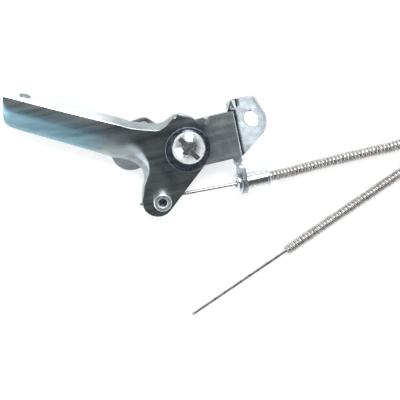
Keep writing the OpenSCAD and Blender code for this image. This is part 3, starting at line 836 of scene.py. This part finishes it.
# %% Straps
for tie_name, tie_angle in TIE_ANGLES.items():
    outline = hull([(round(r + (CONDUIT_D / 2 + TIE_T) * math.cos(math.tau * k / 32), 4),
                     round(z + (CONDUIT_D / 2 + TIE_T) * math.sin(math.tau * k / 32), 4))
                    for r, z in turns_at(tie_angle) for k in range(32)])
    select_only()
    bpy.ops.mesh.primitive_circle_add(vertices=len(outline), radius=MM)
    tie = bpy.context.object
    for corner, (r, z) in zip(tie.data.vertices, outline):
        corner.co = Vector((r, -TIE_W / 2, z)) * MM
    bpy.ops.object.mode_set(mode="EDIT")
    bpy.ops.mesh.select_all(action="SELECT")
    bpy.ops.mesh.extrude_region_move(TRANSFORM_OT_translate={"value": (0, TIE_W * MM, 0)})
    close_edit()
    clean(tie)
    modify(tie, "SOLIDIFY", thickness=TIE_T * MM * 0.98, offset=-1, use_even_offset=True)
    outer_r, height = turns_at(tie_angle)[0]
    lock = block((outer_r + 2.6, -3.0, 0.2), (outer_r + 6.4, 3.0, 4.6))
    soften(lock, 0.5)
    combine(tie, lock, "UNION")
    soften(tie, 0.15, angle=60)
    smooth(tie, 50)
    settle(tie, moved(COIL_MIDDLE.x, COIL_MIDDLE.y) @ turned(tie_angle, "Z"))
    paint(tie, "black_nylon")
    finish_piece(tie, "strap_" + tie_name[-1], "base", "black_nylon", tie_name)
    conduit_lowest = min(v.co.z for v in tie.data.vertices)
    print(tie.name, "lowest point", round(conduit_lowest * 1000, 2), "mm")

# %% [markdown]
# ## The conduit's length
#
# The conduit's whole length is printed.

print("cord declared,", round(CONDUIT_LENGTH), "mm")

# %% [markdown]
# ## The ferrule
#
# The ferrule is turned from one bar: a flange, a groove that the bracket's tab snaps into, and a
# barrel with a crimped lip at its mouth. A lathe outline gives all of it at once, bore and seat
# included, and then the piece is laid on the cable's axis.

# %% Ferrule
def along_x(place, dip=0.0, turn=0.0):
    """Lays a piece made along Z on an axis that starts along X, then dips and turns."""
    return (Matrix.Translation((place + PIVOT) * MM) @ turned(-turn, "Z") @ turned(dip, "Y")
            @ turned(90, "Y"))


FLANGE_R, GROOVE_R, BARREL_R, BARREL_END_R, LIP_R = 5.15, 3.4, 4.65, 4.4, 4.9
FLANGE_T = 2.5
GROOVE_END = 4.8
ferrule = lathe([
    (1.8, 0.5), (2.3, 0.0), (4.55, 0.0), (4.95, 0.18), (FLANGE_R, 0.6), (FLANGE_R, FLANGE_T - 0.5),
    (4.95, FLANGE_T - 0.1), (4.6, FLANGE_T), (GROOVE_R, FLANGE_T), (GROOVE_R, GROOVE_END),
    (4.25, GROOVE_END), (4.55, GROOVE_END + 0.12), (BARREL_R, GROOVE_END + 0.45),
    (BARREL_END_R, 16.1), (BARREL_END_R + 0.1, 16.35), (LIP_R - 0.1, 16.5), (LIP_R, 16.75),
    (LIP_R, 17.6), (LIP_R - 0.15, 17.9), (LIP_R - 0.45, 18.0), (3.2, 18.0), (2.95, 17.7),
    (2.95, 10.0), (1.8, 10.0)], steps=96)
smooth(ferrule, 32)
settle(ferrule, along_x(FERRULE_FACE, FERRULE_DIP, FERRULE_TURN))
paint(ferrule, "bright_steel")
finish_piece(ferrule, "ferrule_turned", "base", "bright_steel", "ferrule")

# %% [markdown]
# ## The swivel
#
# The swivel clamps the wire under a sunk grub screw. It is a turned pin with a bored head, and
# the bore for the wire goes across it. A washer and a snap ring hold it under the lever's arm.

# %% Swivel pin
SWIVEL_TOP = LEVER_TOP + 4.8
CLIP_Z = 13.7
SWIVEL_LOW = WIRE_Z - 1.8 - 1.5
pin = lathe([
    (0.0, SWIVEL_LOW), (3.1, SWIVEL_LOW), (3.5, SWIVEL_LOW + 0.4), (3.5, CLIP_Z), (3.0, CLIP_Z),
    (3.0, CLIP_Z + 0.7), (3.5, CLIP_Z + 0.7), (3.5, LEVER_TOP), (4.5, LEVER_TOP),
    (4.6, LEVER_TOP + 0.15), (4.6, SWIVEL_TOP - 0.55), (4.5, SWIVEL_TOP - 0.2), (4.2, SWIVEL_TOP),
    (2.75, SWIVEL_TOP), (2.25, SWIVEL_TOP - 0.5), (2.25, WIRE_Z - 1.0), (0.0, WIRE_Z - 1.0)])
settle(pin, moved(SWIVEL.x, SWIVEL.y))
span_turn = math.degrees(math.atan2(span_way.y, span_way.x))
wire_bore = rod(2.1, 12, 32, Matrix.Translation((SWIVEL + PIVOT) * MM)
                @ turned(span_turn, "Z") @ turned(90, "Y"))
combine(pin, wire_bore, "DIFFERENCE")
smooth(pin, 32)
paint(pin, "white_zinc")
finish_piece(pin, "swivel_turned", "swivel", "bright_steel", "swivel_pin")

# %% Grub screw, washer and snap ring
GRUB_TOP = SWIVEL_TOP - 2.0
grub = lathe([(0.0, WIRE_Z + 0.92), (1.9, WIRE_Z + 0.92), (2.2, WIRE_Z + 1.3), (2.2, GRUB_TOP - 0.35),
              (1.85, GRUB_TOP), (0.0, GRUB_TOP)])
socket = rod(2.5, 4.0, 6, Matrix.Translation((0, 0, GRUB_TOP * MM)))
combine(grub, socket, "DIFFERENCE")
settle(grub, moved(SWIVEL.x, SWIVEL.y))
smooth(grub, 32)
paint(grub, "dark_steel")
finish_piece(grub, "grub_turned", "swivel", "dark_steel", "grub_screw")


def flat_ring(inner_r, outer_r, low, high, edge=0.12):
    """A washer with eased edges, centred on the Z axis."""
    return lathe([(inner_r, low + edge), (inner_r + edge, low), (outer_r - edge, low),
                  (outer_r, low + edge), (outer_r, high - edge), (outer_r - edge, high),
                  (inner_r + edge, high), (inner_r, high - edge)])


swivel_ring = flat_ring(3.55, 6.0, 14.4, 15.0)
settle(swivel_ring, moved(SWIVEL.x, SWIVEL.y))
smooth(swivel_ring, 32)
paint(swivel_ring, "bright_steel")
finish_piece(swivel_ring, "swivel_ring", "swivel", "bright_steel", "swivel_washer")
snap_ring = flat_ring(3.05, 5.5, CLIP_Z + 0.05, CLIP_Z + 0.65, 0.1)
gap = block((-1.5, -11, CLIP_Z - 1), (1.5, 0, CLIP_Z + 2))
combine(snap_ring, gap, "DIFFERENCE")
settle(snap_ring, moved(SWIVEL.x, SWIVEL.y))
smooth(snap_ring, 32)
paint(snap_ring, "dark_steel")
finish_piece(snap_ring, "snap_ring", "swivel", "dark_steel", "swivel_clip")

# %% [markdown]
# ## The pivot screw
#
# The screw's head is a shallow dome with a slot right across it and two short wings, so that a
# flat or a crossed driver fits. The dome is turned on the lathe. The slots are cut with boxes,
# and then every sharp edge is eased, because such edges catch the light.

# %% Pivot screw
HEAD_R = 8.5
DOME_R = 12.0
SLOT_W = 2.4
SLOT_DEEP = 2.4
SLOT_ANGLE = 120
WING_LENGTH = 7.4
SCREW_END = 1.1
dome_low = HEAD_TOP - DOME_R
edge_angle = math.asin(HEAD_R / DOME_R)
head_outline = [(0.0, SCREW_END), (3.4, SCREW_END), (4.0, SCREW_END + 0.6), (4.0, WASHER_TOP),
                (HEAD_R - 0.5, WASHER_TOP), (HEAD_R - 0.15, WASHER_TOP + 0.15),
                (HEAD_R, WASHER_TOP + 0.5), (HEAD_R, dome_low + DOME_R * math.cos(edge_angle) - 0.5)]
for k in range(11):
    a = (edge_angle - 0.03) * (1 - k / 10)
    head_outline.append((DOME_R * math.sin(a), dome_low + DOME_R * math.cos(a)))
screw = lathe(head_outline, steps=96)
slot_floor = HEAD_TOP - SLOT_DEEP
slot_cut = block((-10, -SLOT_W / 2, slot_floor), (10, SLOT_W / 2, HEAD_TOP + 1), turned(SLOT_ANGLE, "Z"))
combine(screw, slot_cut, "DIFFERENCE")
wing_cut = block((-WING_LENGTH / 2, -SLOT_W / 2, slot_floor - 0.6),
                 (WING_LENGTH / 2, SLOT_W / 2, HEAD_TOP + 1), turned(SLOT_ANGLE + 90, "Z"))
combine(screw, wing_cut, "DIFFERENCE")
soften(screw, 0.14, angle=50)
smooth(screw, 30)
settle(screw, moved(0, 0))
paint(screw, "bright_steel")
finish_piece(screw, "screw_turned", "base", "bright_steel", "pivot_screw")

# %% [markdown]
# ## Washers, spring and nut
#
# Between and behind the sheets lie rings of several kinds. They share one outline, an eased
# rectangle, except for the disc spring, which is a shallow cone. One loop turns them all.

# %% Rings on the pivot
BUSH_R = 6.0
RINGS = {
    "front_ring": ("front_washer", "dark_steel", (5.9, 11.6, LEVER_TOP, WASHER_TOP, 0.35), (-0.45, -1.425)),
    "bush": ("pivot_bush", "bronze", (4.05, BUSH_R, BASE_TOP, LEVER_TOP, 0.15), (0, 0)),
    "friction_ring": ("friction_washer", "black_nylon", (6.05, 10.8, BASE_TOP, LEVER_LOW, 0.15), (0, 0)),
    "rear_ring": ("rear_washer", "bright_steel", (4.05, 8.0, 10.4, BASE_LOW, 0.2), (0, 0)),
}
for ring_name, (node, slot_name, shape, shift) in RINGS.items():
    ring = flat_ring(*shape)
    smooth(ring, 32)
    settle(ring, moved(*shift))
    paint(ring, slot_name)
    finish_piece(ring, ring_name, "base", slot_name, node)

disc = lathe([(4.05, 9.2), (4.05, 10.0), (4.2, 10.03), (7.5, 10.38), (7.6, 10.3), (7.6, 9.62), (7.5, 9.58)])
smooth(disc, 32)
settle(disc, moved(0, 0))
paint(disc, "dark_steel")
finish_piece(disc, "spring_disc", "base", "dark_steel", "disc_spring")

# %% Lock nut and insert
NUT_AF = 13.0
NUT_LOW, NUT_HIGH = 3.7, 9.2
COLLAR_LOW = 1.4
nut = rod(NUT_AF / math.cos(math.pi / 6), NUT_HIGH - NUT_LOW, 6,
          Matrix.Translation((0, 0, (NUT_LOW + NUT_HIGH) / 2 * MM)))
chamfer_tool = lathe([(0, NUT_LOW - 0.2), (6.3, NUT_LOW - 0.2), (7.6, NUT_LOW + 0.6),
                      (7.6, NUT_HIGH - 0.6), (6.3, NUT_HIGH + 0.2), (0, NUT_HIGH + 0.2)])
combine(nut, chamfer_tool, "INTERSECT")
collar = lathe([(0, COLLAR_LOW), (5.6, COLLAR_LOW), (6.0, COLLAR_LOW + 0.5), (6.0, NUT_LOW + 0.5),
                (0, NUT_LOW + 0.5)])
combine(nut, collar, "UNION")
combine(nut, rod(8.1, 20, 48), "DIFFERENCE")
combine(nut, rod(10.4, 2 * NUT_LOW, 48), "DIFFERENCE")
soften(nut, 0.12, angle=25)
smooth(nut, 32)
settle(nut, moved(0, 0))
paint(nut, "bright_steel")
finish_piece(nut, "nut_turned", "base", "bright_steel", "lock_nut")
insert = flat_ring(4.05, 5.15, COLLAR_LOW, NUT_LOW, 0.2)
smooth(insert, 32)
settle(insert, moved(0, 0))
paint(insert, "blue_nylon")
finish_piece(insert, "insert", "base", "blue_nylon", "nut_insert")

# %% [markdown]
# ## The lever
#
# The lever is pressed from one sheet. Its handle is an open channel with one broad curved side
# and one tight fold. In the neck the channel turns and flattens out into the plate that lies
# under the screw's ring. The shape is given by stations along it: at each the lower and the upper
# rim, how far each side's curve reaches in, and how deep it goes. A grid is laid over the
# stations for the outside and another for the inside, and bridging their open edges closes the
# sheet. The flat plate is a hull of a few discs, joined on at the end.

# %% Stations of the pressed sheet
HANDLE_LENGTH = 50.4
HANDLE_WIDTH = 20.5
HANDLE_TAPER = 1.0
HANDLE_SLANT = 7.0
NECK_START = Vector((-39.5, 13.9))
CORNER_BACK = 5.1
CORNER_TURN = 1.2
WALL_DEPTH = 8.5
TIP_BULGE = 1.5


def way(degrees):
    return Vector((math.cos(math.radians(degrees)), math.sin(math.radians(degrees))))


neck_across = way(HANDLE_ANGLE - 90 + HANDLE_SLANT) * HANDLE_WIDTH / 2


def low_edge(d):
    return NECK_START - neck_across + d * way(HANDLE_ANGLE - HANDLE_TAPER)


def high_edge(d):
    return NECK_START + neck_across + d * way(HANDLE_ANGLE + HANDLE_TAPER)


# Lower rim, upper rim, reach of the lower and the upper curve, share of the depth on each side
STATIONS = [
    (low_edge(HANDLE_LENGTH - CORNER_TURN) + CORNER_TURN * way(HANDLE_ANGLE - 90),
     high_edge(HANDLE_LENGTH), 12.5, 3.4, 1, 1),
    (low_edge(HANDLE_LENGTH - CORNER_BACK), high_edge(HANDLE_LENGTH - CORNER_BACK / 2), 13.0, 3.3, 1, 1),
    (low_edge(HANDLE_LENGTH / 2), high_edge(HANDLE_LENGTH / 2), 13.5, 3.2, 1, 1),
    (low_edge(0), high_edge(0), 15.0, 2.8, 1, 1),
    (Vector((-38.8, 1.5)), Vector((-30.1, 20.2)), 15.5, 2.4, 1, 1),
    (Vector((-34.1, -0.5)), Vector((-24.9, 17.2)), 15.0, 2.2, 1, 1),
    (Vector((-30.4, -2.5)), Vector((-18.7, 14.9)), 12.5, 2.2, 1, 1),
    (Vector((-27.3, -5.2)), Vector((-13.9, 13.4)), 9.5, 2.2, 1, 1),
    (Vector((-25.6, -8.0)), Vector((-10.6, 13.2)), 8.0, 2.4, 1, 1),
    (Vector((-25.3, -11.1)), Vector((-7.6, 14.4)), 7.4, 2.5, 1, 0.85),
    (Vector((-25.9, -14.3)), Vector((-4.9, 16.1)), 6.2, 2.3, 0.9, 0.6),
    (Vector((-27.8, -17.8)), Vector((-3.0, 17.0)), 3.4, 2.3, 0.6, 0.4),
    (Vector((-29.8, -24.6)), Vector((0.2, 16.7)), 2.6, 2.3, 0.34, 0.3),
]
print(len(STATIONS), "stations")

# %% Sections between the stations
SIDE_STEPS = 14
FLAT_STEPS = 3
STATION_STEPS = 7


def column(u, c):
    """Value c of the stations at place u, on a smooth curve through them."""
    i = min(int(u), len(STATIONS) - 2)
    t = u - i
    a, b, d, e = (STATIONS[max(0, min(len(STATIONS) - 1, i + k))][c] for k in (-1, 0, 1, 2))
    return 0.5 * (2 * b + (d - a) * t + (2 * a - 5 * b + 4 * d - e) * t * t
                  + (3 * b - a - 3 * d + e) * t * t * t)


def side_curve(rim, inwards, reach, share, inset):
    """A quarter ellipse from the rim up to the flat top, in steps of even turning."""
    top = LEVER_TOP - inset
    rise = top - (LEVER_TOP - WALL_DEPTH * share)
    width = reach - inset
    points = []
    for k in range(SIDE_STEPS + 1):
        slope = math.radians(90 * (1 - k / SIDE_STEPS))
        a = math.atan2(rise * math.cos(slope), width * math.sin(slope))
        flat = rim + inwards * (inset + width * (1 - math.cos(a)))
        points.append(Vector((flat.x, flat.y, top - rise + rise * math.sin(a))))
    return points


def section(u, inset):
    """The sheet's outline across station place u, from the lower rim to the upper."""
    low, high = column(u, 0), column(u, 1)
    inwards = (high - low).normalized()
    low_side = side_curve(low, inwards, column(u, 2), column(u, 4), inset)
    high_side = side_curve(high, -inwards, column(u, 3), column(u, 5), inset)[::-1]
    middle = [low_side[-1].lerp(high_side[0], k / FLAT_STEPS) for k in range(1, FLAT_STEPS)]
    points = low_side + middle + high_side
    out = TIP_BULGE * max(0, 1 - u / 2) ** 2
    along = way(HANDLE_ANGLE).to_3d()
    return [p + along * out * math.sin(math.pi * k / (len(points) - 1)) for k, p in enumerate(points)]


def sheet_side(inset):
    """A grid laid over the stations, on the sheet's outside or inside."""
    rows = STATION_STEPS * (len(STATIONS) - 1)
    sections = [section(i / STATION_STEPS, inset) for i in range(rows + 1)]
    width = len(sections[0])
    select_only()
    bpy.ops.mesh.primitive_grid_add(x_subdivisions=width - 1, y_subdivisions=rows, size=MM)
    side = bpy.context.object
    for row, points in enumerate(sections):
        for k, p in enumerate(points):
            side.data.vertices[row * width + k].co = at_pivot(p.x, p.y, p.z)
    return side


outside = sheet_side(0)
inside = sheet_side(SHEET)
select_only(inside, outside)
bpy.ops.object.join()
lever = bpy.context.object
bpy.ops.object.mode_set(mode="EDIT")
bpy.ops.mesh.select_mode(type="EDGE")
bpy.ops.mesh.select_all(action="DESELECT")
bpy.ops.mesh.select_non_manifold(extend=False, use_wire=False, use_boundary=True,
                                 use_multi_face=False, use_non_contiguous=False, use_verts=False)
bpy.ops.mesh.bridge_edge_loops()
close_edit()
clean(lever)
soften(lever, 0.35, segments=3, angle=50)
print("pressed sheet:", len(lever.data.polygons), "faces")

# %% The flat plate
def hull_plate(low, high, *discs):
    """A plate between two heights whose outline wraps round some discs (x, y, radius)."""
    parts = [rod(2 * r, high - low, 96, moved(x, y, (low + high) / 2)) for x, y, r in discs]
    select_only(*parts)
    bpy.ops.object.join()
    plate = bpy.context.object
    bpy.ops.object.mode_set(mode="EDIT")
    bpy.ops.mesh.select_all(action="SELECT")
    bpy.ops.mesh.convex_hull()
    bpy.ops.mesh.dissolve_limited(angle_limit=math.radians(0.5))
    close_edit()
    return plate


LEVER_ROUND = (-0.5, -1.4, 12.0)
ARM_ROUND = (-21.2, -24.9, 8.0)
plate = hull_plate(LEVER_LOW, LEVER_TOP, LEVER_ROUND, ARM_ROUND)
nub = hull_plate(LEVER_LOW, LEVER_TOP, LEVER_ROUND, (2.2, 10.4, 4.4), (-0.7, 15.3, 2.0))
combine(plate, nub, "UNION")
soften(plate, 0.35, segments=3, angle=50)
combine(lever, plate, "UNION")
print("plate joined:", len(lever.data.polygons), "faces")

# %% Holes in the lever
GRIP_HOLE_D = 5.5
GRIP_HOLE_BACK = 9.2
GRIP_HOLE_DROP = 3.5
combine(lever, rod(2 * BUSH_R + 0.1, 10, 96, moved(0, 0, LEVER_TOP)), "DIFFERENCE")
combine(lever, rod(7.1, 10, 64, moved(SWIVEL.x, SWIVEL.y, LEVER_TOP)), "DIFFERENCE")
hole_at = STATIONS[0][1] - GRIP_HOLE_BACK * way(HANDLE_ANGLE)
combine(lever, rod(GRIP_HOLE_D, 12, 64, moved(hole_at.x, hole_at.y, LEVER_TOP - GRIP_HOLE_DROP)
                   @ turned(HANDLE_ANGLE, "Z") @ turned(90, "X")), "DIFFERENCE")
clean(lever)
smooth(lever, 38)
paint(lever, "zinc_lever_with_painted_highlight")
finish_piece(lever, "lever_pressed", "lever", "zinc_sheet_dark", "lever")

# %% [markdown]
# ## The bracket
#
# The bracket is one pressed strip. Its round end lies under the lever, its far end bends up into
# an ear, and a foot steps down to the ground behind the lever's neck. The ear is spun up from the
# strip's end face, as a press brake would fold it. The tab that holds the ferrule is twisted off
# one corner, so it is drawn out from a small face that turns a little at each step.

# %% Base strip and ear
BEND_X = 25.2
BEND_R = 1.5
STRIP_LOW, STRIP_HIGH = -12.5, 11.9
BASE_ROUND_R = 13.0
EAR_ANGLE = 30
EAR_R, EAR_REACH, EAR_Y = 10.6, 5.6, 6.0
EAR_LOW = -11.5
EAR_HOLE_D, EAR_HOLE_REACH, EAR_HOLE_Y = 8.4, 8.4, 6.7
LEG_Y = STRIP_HIGH + 1.5
LEG_W = 4.2

bracket = rod(2 * BASE_ROUND_R, SHEET, 128, moved(0, 0, BASE_LOW + SHEET / 2))
strip = block((0, STRIP_LOW, BASE_LOW), (BEND_X, STRIP_HIGH, BASE_TOP))
select_faces(strip, lambda f: f.normal.x > 0.9)
close_edit()
bend_axis = Vector((BEND_X, 0, BASE_TOP + BEND_R)) * MM
BEND_STEPS = 8
bend_step = (Matrix.Translation(bend_axis) @ turned(-EAR_ANGLE / BEND_STEPS, "Y")
             @ Matrix.Translation(-bend_axis))
draw_out(strip, BEND_STEPS, bend_step)
top = max(v.co.z for v in strip.data.vertices)
print("the bend rises to", round(top / MM, 2), "mm")
settle(strip, moved(0, 0))
combine(bracket, strip, "UNION")

# %% Ear outline and leg
ear_place = (moved(BEND_X, 0, BASE_TOP + BEND_R) @ turned(-EAR_ANGLE, "Y")
             @ Matrix.Translation((0, 0, -(BEND_R + SHEET) * MM)))


def local_hull(place, *shapes):
    """The hull of solids given in a piece's own directions, then put in its place."""
    select_only(*shapes)
    bpy.ops.object.join()
    solid = bpy.context.object
    bpy.ops.object.mode_set(mode="EDIT")
    bpy.ops.mesh.select_all(action="SELECT")
    bpy.ops.mesh.convex_hull()
    bpy.ops.mesh.dissolve_limited(angle_limit=math.radians(0.5))
    close_edit()
    settle(solid, place)
    return solid


def shift_of(x, y, z):
    return Matrix.Translation(Vector((x, y, z)) * MM)


ear = local_hull(ear_place,
                 rod(2 * EAR_R, SHEET, 128, shift_of(EAR_REACH, EAR_Y, SHEET / 2)),
                 rod(7.0, SHEET, 48, shift_of(EAR_REACH + 3.9, EAR_R + 4.4, SHEET / 2)),
                 block((0, EAR_LOW, 0), (1, LEG_Y + LEG_W, SHEET)))
ear_bore = rod(EAR_HOLE_D, 10, 96, ear_place @ shift_of(EAR_HOLE_REACH, EAR_HOLE_Y, SHEET / 2))
combine(ear, ear_bore, "DIFFERENCE")
combine(bracket, ear, "UNION")
leg_top = block((0, LEG_Y, 0), (SHEET, LEG_Y + LEG_W, SHEET), ear_place)
leg_foot = block((BEND_X - 0.6, LEG_Y - 2.8, 0), (BEND_X + 1.4, LEG_Y + LEG_W - 3.8, 1), moved(0, 0))
leg = local_hull(None, leg_top, leg_foot)
combine(bracket, leg, "UNION")
print("strip, ear and leg:", len(bracket.data.polygons), "faces")

# %% Foot, web and lug
WEB_X = -10.91
WEB_W = 14.0
lug = block((10.9, STRIP_HIGH - 3.2, BASE_LOW), (12.9, STRIP_HIGH, BASE_TOP + 3.6), moved(0, 0))
combine(bracket, lug, "UNION")
web = block((WEB_X, -WEB_W / 2, 0), (WEB_X + SHEET, WEB_W / 2, BASE_TOP), moved(0, 0))
combine(bracket, web, "UNION")
foot = local_hull(None,
                  rod(2 * 9.8, SHEET, 128, moved(-29.5, 0.2, SHEET / 2)),
                  rod(2 * 2.6, SHEET, 64, moved(-25.5, 13.2, SHEET / 2)),
                  rod(2 * 4.65, SHEET, 64, moved(-19.6, 11.7, SHEET / 2)),
                  block((WEB_X, -WEB_W / 2, 0), (WEB_X + SHEET, WEB_W / 2, SHEET), moved(0, 0)))
combine(foot, rod(5.5, 10, 64, moved(-19.6, 11.7)), "DIFFERENCE")
combine(bracket, foot, "UNION")
print("with foot:", len(bracket.data.polygons), "faces")

# %% The twisted tab
TAB_BACK, TAB_FRONT, TAB_TOP = -4.5, 4.6, 9.5
TWIST_STEPS = 12
tab_x = FLANGE_T + 0.15
tab_place = Matrix.Translation((FERRULE_FACE + PIVOT) * MM) @ turned(-FERRULE_TURN, "Z") @ turned(FERRULE_DIP, "Y")


def face_corners(middle, wide, thick, width):
    """Four corners of the twisted strip's section."""
    half_wide = wide * width / 2
    half_thick = thick * SHEET / 2
    return [middle + half_wide + half_thick, middle - half_wide + half_thick,
            middle - half_wide - half_thick, middle + half_wide - half_thick]


def twisted_neck():
    """Drawn out from the strip's corner to the tab in small steps, turning as it goes."""
    start = Vector((BEND_X - 2.1, STRIP_LOW + 0.5, BASE_LOW + SHEET / 2))
    end_frame = tab_place.to_3x3()
    end = FERRULE_FACE + end_frame @ Vector((tab_x + SHEET / 2, TAB_TOP - 1.6, 0))
    start_wide, end_wide = Vector((1, 0, 0)), end_frame @ Vector((0, 0, -1))
    select_only()
    bpy.ops.mesh.primitive_grid_add(x_subdivisions=4, y_subdivisions=TWIST_STEPS, size=MM)
    neck = bpy.context.object
    for row in range(TWIST_STEPS + 1):
        t = row / TWIST_STEPS
        ease = t * t * (3 - 2 * t)
        middle = start.lerp(end, t)
        middle.y = start.y + (end.y - start.y) * t
        middle.z = start.z + (end.z - start.z) * ease
        wide = start_wide.lerp(end_wide, ease).normalized()
        ahead = Vector((0, -1, 0))
        thick = ahead.cross(wide).normalized()
        corners = face_corners(middle, wide, thick, 4.2 + (TAB_FRONT - TAB_BACK - 4.2) * ease ** 2)
        for k in range(5):
            neck.data.vertices[row * 5 + k].co = (corners[k % 4] + PIVOT) * MM
    clean(neck)
    close_holes(neck)
    return neck


tab = local_hull(tab_place,
                 rod(12.0, SHEET, 96, shift_of(tab_x + SHEET / 2, 0, 0) @ turned(90, "Y")),
                 block((tab_x, TAB_TOP - 3, TAB_BACK), (tab_x + SHEET, TAB_TOP - 1.5, TAB_FRONT)))
combine(tab, twisted_neck(), "UNION")
tab_bore = rod(7.1, 8, 64, tab_place @ shift_of(tab_x, 0, 0) @ turned(90, "Y"))
combine(tab, tab_bore, "DIFFERENCE")
tab_slot = block((tab_x - 1, -3.55, -12), (tab_x + SHEET + 1, 3.55, 0), tab_place)
combine(tab, tab_slot, "DIFFERENCE")
combine(bracket, tab, "UNION")
combine(bracket, rod(8.1, 40, 96, moved(0, 0)), "DIFFERENCE")
clean(bracket)
select_only(bracket)
bpy.ops.object.mode_set(mode="EDIT")
bpy.ops.mesh.select_all(action="SELECT")
bpy.ops.mesh.dissolve_limited(angle_limit=math.radians(0.5))
close_edit()
soften(bracket, 0.3, segments=3, angle=35)
smooth(bracket, 38)
paint(bracket, "zinc_sheet")
finish_piece(bracket, "bracket_pressed", "base", "zinc_sheet", "bracket")

# %% [markdown]
# ## Floor and light
#
# A pale floor and soft lamps, as for a catalogue. Polished metal shows its surroundings, so the
# world is bright near the horizon and darker overhead, like a room with windows and a dim
# ceiling. The floor is white by its own colour, helped a little for the camera and for
# reflections, and keeps the part's soft shadow.

# %% World
def make_world(room_light=0.55, ceiling=0.12):
    world = bpy.data.worlds.new("room")
    bpy.context.scene.world = world
    world.use_nodes = True
    nodes, links = world.node_tree.nodes, world.node_tree.links
    background = nodes["Background"]
    coords = nodes.new("ShaderNodeTexCoord")
    parts = nodes.new("ShaderNodeSeparateXYZ")
    links.new(coords.outputs["Generated"], parts.inputs["Vector"])
    sky = nodes.new("ShaderNodeValToRGB")
    sky.color_ramp.elements[0].position = 0.35
    sky.color_ramp.elements[0].color = (1, 1, 1, 1)
    sky.color_ramp.elements[1].position = 0.85
    sky.color_ramp.elements[1].color = (ceiling, ceiling, ceiling * 1.05, 1)
    links.new(parts.outputs["Z"], sky.inputs["Fac"])
    rays = nodes.new("ShaderNodeLightPath")
    seen = nodes.new("ShaderNodeMath")
    seen.operation = "ADD"
    links.new(rays.outputs["Is Camera Ray"], seen.inputs[0])
    links.new(rays.outputs["Is Glossy Ray"], seen.inputs[1])
    shown = nodes.new("ShaderNodeMath")
    shown.operation = "ADD"
    shown.use_clamp = True
    links.new(seen.outputs[0], shown.inputs[0])
    links.new(rays.outputs["Is Transmission Ray"], shown.inputs[1])
    choice = nodes.new("ShaderNodeMix")
    choice.data_type = "RGBA"
    choice.inputs[6].default_value = (room_light, room_light, room_light, 1)
    links.new(shown.outputs[0], choice.inputs[0])
    links.new(sky.outputs["Color"], choice.inputs[7])
    links.new(choice.outputs[2], background.inputs["Color"])
    return world


make_world()
print("world ready")

# %% Floor
FLOOR_SIZE = 6.0


def floor_finish():
    """White paint; a little glow in camera and mirror rays lifts it to the white of a backdrop."""
    material, shader = new_finish("floor_white", metallic=0.0)
    shader.inputs["Base Color"].default_value = (0.9, 0.9, 0.9, 1)
    shader.inputs["Roughness"].default_value = 0.9
    shader.inputs["Specular IOR Level"].default_value = 0.0
    rays = add_node(material, "ShaderNodeLightPath")
    seen = add_node(material, "ShaderNodeMath", operation="ADD")
    link(material, rays.outputs["Is Camera Ray"], seen.inputs[0])
    link(material, rays.outputs["Is Glossy Ray"], seen.inputs[1])
    shown = add_node(material, "ShaderNodeMath", operation="ADD", use_clamp=True)
    link(material, seen.outputs[0], shown.inputs[0])
    link(material, rays.outputs["Is Transmission Ray"], shown.inputs[1])
    glow = add_node(material, "ShaderNodeMath", operation="MULTIPLY")
    glow.inputs[1].default_value = FLOOR_GLOW
    link(material, shown.outputs[0], glow.inputs[0])
    shader.inputs["Emission Color"].default_value = (1, 1, 1, 1)
    link(material, glow.outputs[0], shader.inputs["Emission Strength"])
    return material


FLOOR_GLOW = 0.35
select_only()
bpy.ops.mesh.primitive_plane_add(size=FLOOR_SIZE)
floor = bpy.context.object
floor.name = "floor"
floor.data.materials.append(floor_finish())
print("floor ready")

# %% Lamps
def soft_lamp(name, place, size, power, colour=(1, 1, 1)):
    """A square lamp aimed at the middle of the lever; place is in metres from there."""
    middle = at_pivot(-10, 0, 15)
    place = Vector(place)
    turn = (-place).to_track_quat("-Z", "Y").to_euler()
    bpy.ops.object.light_add(type="AREA", location=middle + place, rotation=turn)
    lamp = bpy.context.object
    lamp.name = name
    lamp.data.shape = "SQUARE"
    lamp.data.size = size
    lamp.data.energy = power
    lamp.data.color = colour
    return lamp


soft_lamp("key", (0.25, 0.75, 0.75), 0.6, 9.0)
soft_lamp("fill", (-0.8, -0.35, 0.7), 0.8, 4.0, (0.92, 0.96, 1.0))

# %% [markdown]
# ## Finish
#
# The view transform stays plain, so a colour renders as it is written.

# %% Finish
bpy.context.scene.view_settings.view_transform = "Standard"
